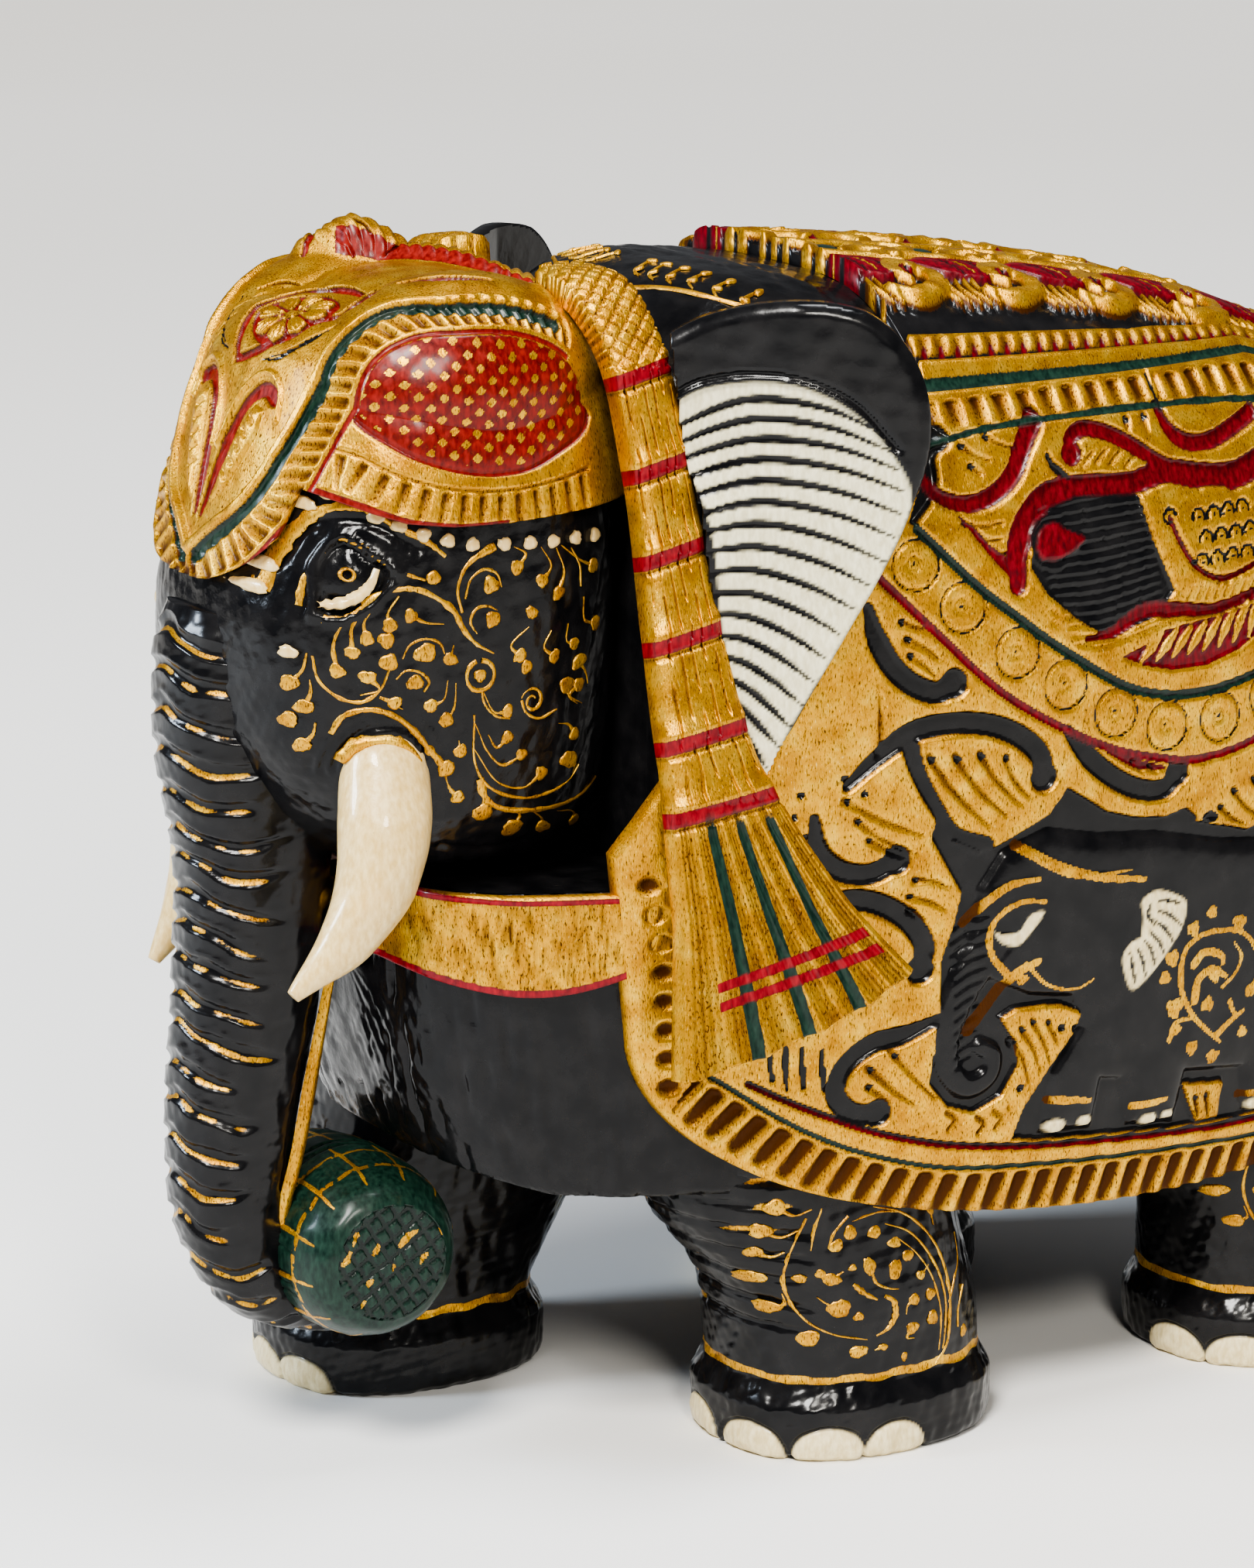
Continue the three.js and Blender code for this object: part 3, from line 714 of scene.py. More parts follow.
def head_body():
    """The head, with the eye carved in it, cut level under the headdress."""
    points, _ = tube([(0, *row) for row in HEAD], HEAD_POWER, 460, 230, (0, 1, 0))
    work = Carving(points[..., 1], points[..., 2], "black")
    eye_carving(work)
    sideways = fade((np.abs(points[..., 0]) - 12) / 10)
    out = normals(points)
    points = dented(points, 0.2)
    points = points + out * (work.height.reshape(sideways.shape) * sideways)[..., None]
    points[..., 2] = np.minimum(points[..., 2], CROWN_CUT)
    closed_form("head_body", points, LACQUER, replaces="head")


# Stations of a form: its middle (x, y, z) and its two half sizes.
TRUNK = (
    (0, -147, 207, 18, 17), (0, -148, 196, 20.5, 20), (0, -148.5, 175, 19.5, 20), (0, -146.5, 148, 18, 18),
    (0, -149, 115, 16.5, 17), (0, -153.5, 84, 15, 15), (0, -154, 62, 14, 13), (0, -148, 46, 12.5, 10.5),
    (0, -136, 37, 10, 7), (0, -123, 32, 8, 4),
)


def trunk_body():
    """The trunk has slanting folds cut across its front, with gold brushed in the cuts."""
    points, angle = tube(TRUNK, TRUNK_POWER, 150, 520)
    run = np.concatenate([[0], np.cumsum(np.linalg.norm(np.diff(points.mean(1), axis=0), axis=1))])
    front, sideways = np.sin(angle), np.cos(angle)
    drift = lumps(run[:, None], 20 * sideways[None], 0 * run[:, None], 14, 5)
    fold = ((run[:, None] - 5 * np.abs(sideways)[None] + 0.9 * drift) / 8.6) % 1
    cut = 1 - np.clip(np.abs(fold - 0.5) / 0.24, 0, 1) ** 2
    reach = fade((front[None] - 0.05 + 0.25 * lumps(run[:, None], 9 * sideways[None], 0, 6, 8)) / 0.35)
    cut, ridge = cut * reach, np.sin(math.pi * fold) ** 2 * reach
    points = dented(points, 0.15) - normals(points) * (1.25 * cut - 0.25 * ridge)[..., None]
    streak = fade((lumps(run[:, None], 16 * sideways[None], 9 * front[None], 5, 11) + 0.55) / 0.8)
    edge = np.abs(fold - 0.62) / 0.075
    thin = np.clip(1.3 - edge, 0, 1) * reach
    # The depth of each cut browns the gold in it: painted shade.
    marks = {"gold": thin * (0.3 + 0.6 * streak), "depth": 0.5 * cut}
    closed_form("trunk_body", points, FIGURE_PAINT, marks, replaces="trunk")


HIP = 46
NAIL_ARC = 0.58
ANKLE_LINE = 19.8
# Each leg: side, foot and top along y, lean at knee and thigh, forward swell, and nails in degrees.
STRIDE = {
    "leg_front_left": (1, -13, -36, 0.1, 0.5, 0, (21, 54, 84, -14)),
    "leg_front_right": (-1, -86, -57, 0.33, 0.75, 10, (20, -7, -36, -66)),
    "leg_rear_left": (1, 115, 106, 0.1, 0.5, 0, (14, 44, 72)),
    "leg_rear_right": (-1, 44, 58, 0.2, 0.6, 0, (-14, -44, -72)),
}


def leg_sections(side, foot, top, knee, thigh, fore):
    """Stations of a leg from its foot up to the joint with the torso."""
    x, lean, fore = HIP * side, top - foot, fore / 2
    return (
        (x, foot, 0, 29, 34), (x, foot, 1.5, 30.5, 35.5), (x, foot, 5, 31, 36), (x, foot, 12, 31, 36),
        (x, foot, 20, 28, 33),
        (x, foot + knee * lean, 38, 28, 33), (x - 3 * side, foot + thigh * lean - fore, 60, 28, 38 + fore),
        (x - 7 * side, foot + (thigh + 0.25) * lean - fore, 85, 30, 42 + fore),
        (x - 10 * side, top, 112, 32, 45),
    )


def leg_side(stations, y, z, lift=0.0):
    """A point on the outer side of a leg."""
    path, size = sections(stations, 300)
    middle, wide, long = section_at(z, 2, path, size, 1)
    centre = np.abs(np.interp(z, path[:, 2], path[:, 0]))
    return np.column_stack([centre + (wide + lift) * bulge(y - middle, long + lift, LEG_POWER), y, z])


def foot_marks(points, nails):
    """Cream toenails in hollows and a brushed gold line round the ankle."""
    middle = points.mean(1, keepdims=True)
    offset = points - middle
    round_ = np.degrees(np.arctan2(offset[..., 0], -offset[..., 1]))
    work = Carving(round_ * NAIL_ARC, points[..., 2], "black")
    for nail in nails:
        u = nail * NAIL_ARC
        outline = curve((u - 8.6, -2), (u - 8.4, 3), (u - 6, 6.6), (u, 8.4), (u + 6, 6.6), (u + 8.4, 3),
            (u + 8.6, -2))
        work.channel(outline, 0.9, 0.7)
        work.patch(outline, 0.2, "cream", 0.7, 0.8)
    wave = lumps(work.u, work.v * 0, 0, 12, 4)
    brush = 1 - np.abs(work.v - ANKLE_LINE - 0.5 * wave) / (1.25 + 0.25 * lumps(work.u, 0, 0, 5, 6))
    work.cover("gold", slice(None), fade(2.5 * brush) * 0.93)
    return work


def leg_body(name, stance, nails):
    """A leg with its foot. The front ones have brushed folds cut across the inner front."""
    side, foot = stance[:2]
    stations = leg_sections(*stance)
    points, _ = tube(stations, LEG_POWER, 400, 250, (0, 1, 0))
    work = foot_marks(points, nails)
    shape = points.shape[:2]
    notch = np.zeros(shape)
    if "front" in name:
        y, z = points[..., 1], points[..., 2]
        front = fade((foot - 16 - 0.12 * z + 4 * lumps(z, 0, 0, 9, 2) - y) / 6) * fade((z - 28) / 6)
        inner = fade((side * points[..., 0] - 22) / 12)
        notch = (1 - np.clip(np.abs(((z + 0.12 * y) / 6.2) % 1 - 0.5) / 0.22, 0, 1) ** 2) * front * inner
    points = dented(points, 0.22) + normals(points) * (work.height.reshape(shape) - 0.8 * notch)[..., None]
    points[..., 2] = np.maximum(points[..., 2], 0)
    marks = {key: values.reshape(shape) for key, values in work.paint.items()}
    ragged = fade((lumps(points[..., 0], points[..., 1], points[..., 2] * 3, 11, 9) - 0.1) / 0.5)
    marks["gold"] = np.maximum(marks["gold"], 0.8 * notch * ragged)
    closed_form(f"{name}_body", points, FIGURE_PAINT, marks, replaces=name)


TAIL = (
    (0, 153, 222, 3, 3), (0, 160, 218, 5, 5), (0, 164.4, 205, 5, 4), (0, 164.9, 175, 4, 3.4),
    (0, 164.9, 145, 3.6, 3.2), (0, 164.7, 125, 5, 3.6), (0, 164.4, 108, 6, 3.8), (0, 164, 98, 2, 1.5),
)


def tail_body():
    """The tail lies down the rump and ends in a combed brush of hair."""
    points, angle = tube(TAIL, 2, 60, 260)
    z = points[..., 2]
    comb = fade((128 - z) / 8) * np.abs(np.sin(7 * angle))[None]
    rings = fade((z - 130) / 8) * (1 - np.clip(np.abs((z / 7) % 1 - 0.5) / 0.16, 0, 1) ** 2)
    points = points - normals(points) * (0.6 * comb + 0.35 * rings)[..., None]
    closed_form("tail_body", points, FIGURE_PAINT, {"gold": 0.6 * rings + 0.25 * comb},
        replaces="tail")


# ---- Gold brush strokes laid on the lacquer ----

class Strokes:
    """Thin raised paint strokes on a surface given as surface(u, v, lift)."""

    def __init__(self, surface, thickness=0.16):
        self.surface, self.thickness = surface, thickness
        self.points, self.faces, self.thin = [], [], []
        self.count = 0

    def put(self, u, v, rise, thin, faces):
        self.points.append(self.surface(u, v, rise * self.thickness + 0.02))
        self.thin.append(thin)
        self.faces.extend((np.asarray(faces) + self.count).tolist())
        self.count += len(u)

    def line(self, points, half=0.45, taper=(0.5, 1.0, 1.0, 0.35)):
        """One stroke along a curve, narrowing at its ends."""
        path = curve(*points) if len(points) < 12 else np.asarray(points, float)
        way = np.gradient(path, axis=0)
        way /= np.maximum(np.linalg.norm(way, axis=1), 1e-9)[:, None]
        run = np.linspace(0, 1, len(path))
        jitter = 1 + 0.16 * rng.standard_normal(len(path))
        width = half * np.interp(run, np.linspace(0, 1, len(taper)), taper) * np.clip(jitter, 0.6, 1.5)
        steps = np.array([-1, -0.6, 0, 0.6, 1])
        u = path[:, :1] - way[:, 1:] * width[:, None] * steps
        v = path[:, 1:] + way[:, :1] * width[:, None] * steps
        rise = np.tile([-1.2, 0.8, 1, 0.8, -1.2], (len(path), 1))
        thin = np.clip(0.35 * rng.random(rise.shape) + 0.25 * (np.abs(steps) > 0.9), 0, 1)
        self.put(u.ravel(), v.ravel(), rise.ravel(), thin.ravel(), grid_faces(len(path), 5))

    def blob(self, u, v, wide, high=None, turn=0.0, tail=None):
        """A dab of paint with an uneven outline, and a tail towards a point."""
        high = high or wide
        angle = np.linspace(0, 2 * math.pi, 18, endpoint=False)
        edge = 1 + 0.09 * np.sin(3 * angle + rng.uniform(0, 6)) + 0.06 * rng.standard_normal(18)
        reach = np.array([0.35, 0.7, 0.92, 1.0])
        x, y = reach[:, None] * edge * np.cos(angle) * wide, reach[:, None] * edge * np.sin(angle) * high
        c, s = math.cos(turn), math.sin(turn)
        us, vs = np.append((u + c * x - s * y).ravel(), u), np.append((v + s * x + c * y).ravel(), v)
        rise = np.append(np.repeat([1.7, 1.5, 1.0, -1.2], 18), 1.7)
        first = self.count
        self.put(us, vs, rise, rng.random(len(us)) * 0.45, grid_faces(4, 18, wrap=True))
        hub = self.count - 1
        self.faces.extend([hub, first + (k + 1) % 18, first + k] for k in range(18))
        if tail:
            self.line([(u, v), *tail], 0.5, (1.6, 0.9, 0.5, 0.25))

    def build(self, name, side, material):
        points = np.vstack(self.points) * np.array([side, 1, 1])
        make(name, points, self.faces, material, {"thin": np.concatenate(self.thin)}, flip=side < 0)


def face_scrolls(s):
    """Curling stems that end in dabs, over the cheek."""
    s.line([(-155.5, 216), (-152, 225), (-148.5, 231), (-144.5, 234.5), (-139, 235.5), (-134, 233)], 1.4,
        (0.9, 1, 1, 0.5))
    s.line([(-134, 233), (-130, 230.5), (-125, 227.5), (-121, 224)], 0.8, (0.8, 1, 1, 0.6))
    s.line([(-150.8, 213.5), (-149.5, 219), (-146.5, 224.5), (-143.5, 228.6), (-141.5, 229.2)], 0.75,
        (1, 1, 1, 1))
    s.line([(-143, 229.2), (-138.5, 227), (-134, 223), (-130, 220.6), (-126, 219)], 0.75, (1.1, 1, 0.9, 0.5))
    s.blob(-124, 219.4, 1.7, 1.6)
    s.line([(-149.5, 211.2), (-145, 210.3), (-141, 211.8), (-138, 215), (-134, 217), (-128, 217.1),
        (-123, 214.5), (-119.5, 211.5), (-117, 207), (-114, 203.5), (-109.5, 200.8)], 0.8,
        (1.6, 1.3, 0.9, 1, 1.1, 0.9, 0.3))
    s.line([(-149.3, 202.5), (-148.3, 197), (-144.5, 193), (-140, 192), (-136.2, 195), (-134.4, 199.5)], 0.5)
    s.blob(-134.6, 201, 2.2, 1.9)
    for u, v, tail in (
        (-145, 199.2, [(-145.6, 205), (-143.5, 210), (-139.5, 213)]),
        (-142, 203.4, [(-142, 209), (-139, 213), (-136, 215.5)]),
        (-139.2, 206.6, [(-139.6, 210), (-137, 214)]), (-135, 206, None),
        (-134.2, 209.4, [(-134.6, 212), (-132, 215.8)]),
        (-129.6, 211.2, [(-126, 209.4), (-122, 208.8)]), (-120.4, 200.6, [(-119.6, 203.8)]),
        (-139, 197.8, [(-136.5, 194.8), (-140.5, 193.6)]), (-133.2, 191.6, [(-136.5, 193), (-131.5, 190)]),
        (-125, 190.2, [(-122, 191.4), (-121, 195.8)]), (-121.2, 186.6, [(-119.4, 189), (-119, 195)]),
        (-103.2, 219.8, [(-100.8, 222.5), (-104, 224.6)]), (-96.6, 216, [(-94, 219), (-96.8, 223.8)]),
        (-92, 212.4, [(-90.2, 217), (-92.4, 223)]), (-80.6, 217, [(-85, 219), (-91, 223.4)]),
        (-99.4, 209, None), (-102.6, 199.4, [(-105, 202), (-100.4, 205.8)]), (-100.8, 196.6, None),
        (-93, 198, [(-96, 200.5), (-94, 204.2)]), (-87, 200, [(-89.4, 201), (-89, 205)]),
        (-79.6, 203.4, [(-83.6, 205), (-84, 210.4)]), (-105.6, 186.8, [(-109, 187), (-112, 192)]),
        (-105.4, 180.6, [(-108, 178.5), (-110.6, 182)]), (-101.4, 176, [(-106, 174), (-110.5, 178),
            (-114, 185)]),
        (-95.4, 170.6, [(-100, 167.8), (-107, 170), (-114, 179)]), (-86, 178.4, [(-88, 181), (-91.5, 182)]),
        (-117, 167.6, [(-119.5, 170.5), (-121, 174.4)]), (-153, 196, [(-151, 199), (-150.2, 203)]),
        (-150.6, 190.6, [(-149.6, 194), (-149.8, 197)]), (-153, 187.2, None),
        (-150.6, 181.4, [(-149, 184), (-148.6, 187)]),
        (-117.4, 178.8, [(-118, 181.5)]), (-85, 190, [(-88, 188), (-84, 185.4)]),
    ):
        s.blob(u, v, rng.uniform(1.5, 1.95), rng.uniform(1.4, 1.8), rng.uniform(0, 3), tail)
    s.blob(-126.4, 202.6, 2.8, 2.3, 0.3)
    s.line([(-131.6, 201.6), (-130, 204.6), (-126.4, 205.8), (-122.8, 204.4), (-121.8, 202)], 0.4)
    s.blob(-128.8, 196, 2.1, 1.8)
    s.line([(-133, 197), (-131, 198.8), (-127.6, 198.2), (-125.4, 195.8), (-126.6, 193.6)], 0.4)
    s.line(ring((-112.8, 196), 3.5, 0.94, 0.3), 0.6, (1, 1, 1.2, 1))
    s.blob(-112.8, 196, 1.5)
    s.line([(-112.4, 192.4), (-111.5, 189), (-108.5, 186), (-105, 185)], 0.4)
    s.line([(-117.4, 211), (-118.4, 216), (-116.6, 220.6), (-113.4, 223.2), (-108.6, 225)], 0.6,
        (0.6, 0.8, 1.4, 1.7))
    s.line([(-116.6, 214), (-115, 218.4), (-111.6, 220.2), (-108.4, 218.8), (-107.4, 215.8)], 0.4)
    s.blob(-110, 216.4, 2.0)
    s.line([(-113.8, 205.8), (-115.4, 208.6), (-114, 211.4), (-111, 211.8), (-108.6, 210.6)], 0.45)
    s.blob(-109.6, 208.6, 1.9)
    s.line([(-85, 213), (-85.4, 218), (-88, 222.4)], 0.4)
    s.blob(-85, 195.4, 2.6, 1.7, 0.5, [(-82.6, 192), (-82, 189.6)])
    s.blob(-89, 190.6, 2.5, 2.0, 0, [(-88, 187.6), (-85.6, 185.6)])
    s.line(ring((-99, 188.4), 0.9, 1.35, 0.1, 3.2), 0.55)
    s.line([(-102, 189), (-100.8, 186), (-97, 184), (-92, 185.4)], 0.5, (1, 1, 0.8, 0.5))
    s.line([(-111.8, 171.5), (-109.4, 166), (-104.4, 163), (-98, 161.8), (-90, 161.4), (-82, 162.4),
        (-75, 165)], 0.8, (1.5, 1, 1, 0.8, 0.4))
    s.line([(-114.2, 187), (-113.6, 176), (-109.5, 169.4), (-101, 165.4), (-93, 165.2), (-86.5, 167.4),
        (-83.6, 170.4)], 0.45)
    s.blob(-87, 172.4, 3.0, 2.2, -0.3)
    s.blob(-110, 163, 2.7, 2.3, 0, [(-110.4, 167), (-111.6, 170.6)])
    s.blob(-101, 157.6, 2.8, 2.3, 0, [(-99.8, 160.8), (-104.8, 163.6)])
    s.blob(-92, 156.4, 2.6, 1.6, -0.4, [(-93.4, 159), (-96.4, 161.2)])
    s.blob(-80, 155, 3.0, 1.6, -0.5, [(-83, 158.4), (-89, 160)])
    s.line([(-145.8, 184.5), (-143.5, 188.8), (-138.6, 190.2), (-133.4, 188.6), (-128.6, 184.6), (-125, 180),
        (-121.6, 176)], 0.8, (0.6, 0.9, 0.8, 1.1, 1.3))
    s.blob(-120.4, 175, 2.1)


BROW_DOTS = ((-156.5, 216.5), (-154.4, 221.6), (-147.2, 235.6), (-143, 238.3), (-135.3, 233.4),
    (-130.8, 231.4), (-125.8, 229.2), (-120.3, 227.4), (-114.3, 226), (-106.3, 225.4), (-99.5, 225),
    (-93.3, 224.6), (-86.5, 224.4), (-79.8, 224))


def face_paint():
    """Scrolls, brow dots and eyes on both cheeks."""
    for label, side in SIDES.items():
        scrolls = Strokes(head_side, 0.2)
        face_scrolls(scrolls)
        scrolls.build(f"face_scrolls_{label}", side, STROKES)
        dots = Strokes(head_side, 0.5)
        for u, v in BROW_DOTS:
            dots.blob(u, v, 1.75, 1.65)
        dots.blob(-153.2, 203, 1.5)
        dots.build(f"brow_dots_{label}", side, IVORY)
        white = Strokes(lambda u, v, lift: head_side(u, v, lift + 0.35), 0.5)
        white.line([(-147.8, 214), (-144.4, 214.2), (-140.8, 215.6), (-137.8, 218.4), (-136.2, 222)], 1.25,
            (0.5, 1, 1, 0.8, 0.3))
        white.build(f"eye_white_{label}", side, IVORY)
        iris = Strokes(lambda u, v, lift: head_side(u, v, lift + 1.5), 0.3)
        iris.line(ring((-142.6, 221), 1.3), 0.3, (1, 1))
        iris.build(f"iris_{label}", side, STROKES)


def leg_scroll(s, y, z):
    """A round scroll of stems and dabs on the outside of a leg, about (y, z)."""
    at = lambda *spots: [(y + u + 24, z + v - 39) for u, v in spots]
    lines = (
        (0.4, ((-40, 58), (-43.4, 51), (-44.6, 44), (-43, 38), (-39, 32), (-33, 28.4), (-25, 26.4))),
        (0.8, ((-28.6, 40.6), (-25.4, 37.8), (-22.4, 36))),
        (0.85, ((-20.4, 36.6), (-17.8, 34.8), (-17.2, 31.6), (-19, 28.6), (-22.6, 27))),
        (0.55, ((-5.4, 16.4), (-1.6, 21), (-0.6, 28), (-0.8, 36), (-3, 44), (-7.6, 50.6), (-14, 55.4),
            (-22, 58.2))),
        (0.4, ((-3, 20), (-2, 30), (-3.4, 38), (-7, 45), (-12, 50.4), (-19, 53.6))),
        (0.35, ((-4.4, 20), (-3.8, 29), (-6, 38), (-10, 44.6), (-16, 50))),
        (0.4, ((-36, 60), (-38, 55), (-39, 50))), (0.45, ((-29, 57), (-33, 53.6), (-34.6, 50))),
        (0.35, ((-14, 55.6), (-21, 56.6), (-28, 55.6))),
        (0.4, ((-1, 31), (1.6, 36), (4, 40), (4.6, 46))), (0.4, ((2.4, 24), (2.6, 29), (5, 33.6))),
    )
    for half, spots in lines:
        s.line(at(*spots), half, (0.8, 1, 1, 0.4))
    blobs = (
        (-24, 44.4, 1.7, 2.4, (-22.4, 40), (-18.6, 38), (-16.4, 37.6)), (-17, 42.4, 2.0, 2.6),
        (-32, 35, 3.0, 2.3, (-35, 36.4), (-37.2, 38.2)), (-27.2, 32.4, 1.3, 1.1),
        (-34, 42.4, 2.5, 1.6, (-31, 44)),
        (-36.6, 44, 1.3, 1.1), (-41.2, 43, 1.6, 1.1), (-28.6, 44.6, 1.1, 0.8),
        (-47.4, 61.4, 2.6, 2.1, (-43, 59), (-38.6, 60)), (-50.4, 55.6, 2.6, 1.9, (-46, 53.8), (-42, 55.2)),
        (-51.2, 50, 1.9, 1.4, (-47.6, 48.8), (-45, 50)), (-50, 42.8, 2.7, 1.7),
        (-46, 35, 2.4, 1.6, (-43.4, 36), (-44.2, 39)), (-38.4, 27.6, 2.6, 2.1), (-27, 23.6, 2.4, 1.6),
        (-20.6, 23.8, 1.3, 0.8, (-23, 23.4)), (-12.6, 27.2, 2.0, 1.7, (-14, 25), (-12, 24.6)),
        (-12, 34.2, 1.7, 1.5, (-14, 33), (-14.4, 31)),
        (-9.6, 39.6, 1.3, 1.1, (-7, 41.6)), (-13, 45, 1.7, 1.4), (-16.6, 48.6, 1.9, 1.3),
        (-22, 52, 1.9, 1.6),
        (-28.6, 53, 1.7, 1.9), (-32.6, 50.4, 2.0, 1.5), (-7, 34.6, 1.5, 1.5), (-6.4, 28.6, 1.6, 1.9),
        (-14.8, 20.4, 0.9, 1.3), (4.6, 22.4, 1.3, 1.7), (-4, 54, 1.4, 1.7, (-3.6, 50)),
    )
    for u, v, wide, high, *tail in blobs:
        (cu, cv), = at((u, v))
        s.blob(cu, cv, wide, high, rng.uniform(-0.3, 0.3), at(*tail))


def leg_paint():
    for name, (*stance, _) in STRIDE.items():
        side, foot = stance[:2]
        stations = leg_sections(*stance)
        scroll = Strokes(lambda u, v, lift, s=stations: leg_side(s, u, v, lift), 0.2)
        leg_scroll(scroll, foot - 9 if "front" in name else foot - 4, 42)
        scroll.build(f"{name}_scroll", side, STROKES)


# ---- Saddle cloth ----

# How far the cloth stands off the flank.
CLOTH_LIFT = 5.0


def bezier(*points):
    """A cubic Bezier's points, without its first."""
    p = np.asarray(points, float)
    t = np.linspace(0, 1, 25)[1:, None]
    return (1 - t) ** 3 * p[0] + 3 * t * (1 - t) ** 2 * p[1] + 3 * t**2 * (1 - t) * p[2] + t**3 * p[3]


CLOTH_EDGE = np.vstack([
    [(-85, 153), (-81, 106)],
    bezier((-81, 106), (-77, 82), (-44, 68), (-18, 62)),
    bezier((-18, 62), (10, 55), (60, 51), (100, 56)),
    bezier((100, 56), (132, 61), (144, 85), (146, 120)),
    bezier((146, 120), (148, 165), (145, 205), (139, 234)),
    [(122, 246), (92, 253.6), (-6, 253.6)],
    bezier((-6, 253.6), (-20, 235), (-60, 190), (-85, 153)),
])
BAND_TOP = curve((-55, 97), (-45, 91.6), (-35, 86.8), (-25, 82.4), (-15, 79), (-5, 76.4), (5, 74.6),
    (20, 72.6), (40, 71), (60, 69.6), (80, 68.6), (92, 69.5), (102, 71.5), (112, 76), (120.6, 84.5),
    (126.6, 96), (129.6, 111), (130.6, 130), (130.2, 150), (128.6, 180), (126, 204), (122, 232))
BAND_FOOT = curve((-66, 101), (-58, 95.4), (-50, 89.6), (-40, 83.4), (-30, 78.4), (-20, 74.6), (-10, 71.6),
    (0, 69.6), (20, 67.6), (40, 66.2), (60, 65.2), (80, 64.2), (92, 64.6), (104, 67.2), (116, 72.6),
    (125, 81.6), (131, 94), (134, 110), (135, 130), (134.6, 150), (133, 180), (130.4, 205), (126, 236))
SWAG_TOP = curve((-13.5, 224), (-6, 216.5), (2, 209), (11, 202), (20, 195.2), (28, 190), (35, 185.6),
    (43, 181.6), (52, 179.3), (62, 178.6), (72, 179.6), (82, 182), (94, 188), (106, 196.5), (117, 206),
    (127, 217))
SWAG_FOOT = curve((-24, 214), (-15, 205), (-8, 198.2), (0, 190.4), (8, 183.8), (16, 178.6), (25, 173.6),
    (32, 170.2), (40, 167), (50, 164.4), (60, 162.6), (70, 163.2), (80, 165.4), (92, 171), (104, 178.6),
    (116, 188), (128, 199))


def hooked(work, points, half=2.5, depth=1.7, paint="black", bulb=1.35):
    """A recessed vine that ends in a round bulb."""
    line = curve(*points)
    work.channel(line, np.array([0.5, 1, 1, 1, 1]) * half, depth, paint, 0.7)
    u, v = line[-1]
    spots, gap, _, _ = work.near(ring((u, v), 0.01, 1), half * bulb + 0.4)
    share = fade((half * bulb - np.abs(gap)) / 0.6 + 0.5)
    work.height[spots] = work.height[spots] * (1 - share) - depth * share
    work.cover(paint, spots, share)


def fluted(work, *strokes, half=1.0, depth=0.95):
    """A leaf's tapering gouges, each starting at a drilled hole."""
    for points in strokes:
        line = curve(*points)
        work.gouge(line, (1.25 * half, half, 0.8 * half, 0.25 * half), depth)
        work.dot(*line[1], 1.15 * half, 0.7, "black")


def drilled(work, *spots, radius=1.0):
    for u, v in spots:
        work.dot(u, v, radius, 1.1, "black")


def top_border(work):
    """The border under the saddle's top: two rows of scoops over a green line, split in the middle."""
    for line, pitch in ((curve((56, 253.2), (26, 253.2), (-7, 252.4)), 6.6),
            (curve((134, 236), (118, 246), (92, 252.4), (58.6, 253.2)), 6.4)):
        work.pockets(line, 0.5, 7.0, pitch, 1.5, None, 0.12)
    work.channel([(-9, 242), (6, 244.6), (26, 245.6), (57, 245.8), (92, 243.6), (118, 237), (127, 232)],
        0.75, 0.7, "green")
    work.channel([(56.6, 254), (57.4, 249), (58.4, 244.5)], 0.45, 0.9, "black")


def swag(work):
    """The hanging band between its green and its red line, with ringed bosses."""
    for y, z in ((-14.5, 216), (-3, 205.4), (11, 193.6), (24, 184.8), (38, 176.6), (52.6, 171.8),
            (68.4, 172), (83.4, 175.6), (97.6, 184), (110.6, 193.6), (122.6, 204)):
        work.gouge(ring((y, z), 5.7), 0.5, 0.75)
        work.stroke(ring((y, z), 5.9), 0.22, "black")
        work.gouge(ring((y - 0.5, z + 0.4), 1.6), 0.4, 0.4)
        work.dot(y - 0.5, z + 0.4, 0.55, 0.7, "black")
    work.channel(SWAG_TOP, 1.15, 0.7, "green")
    work.channel(SWAG_TOP, 0.3, 1.1, "black")
    work.channel(SWAG_FOOT, 1.0, 0.6, "red")


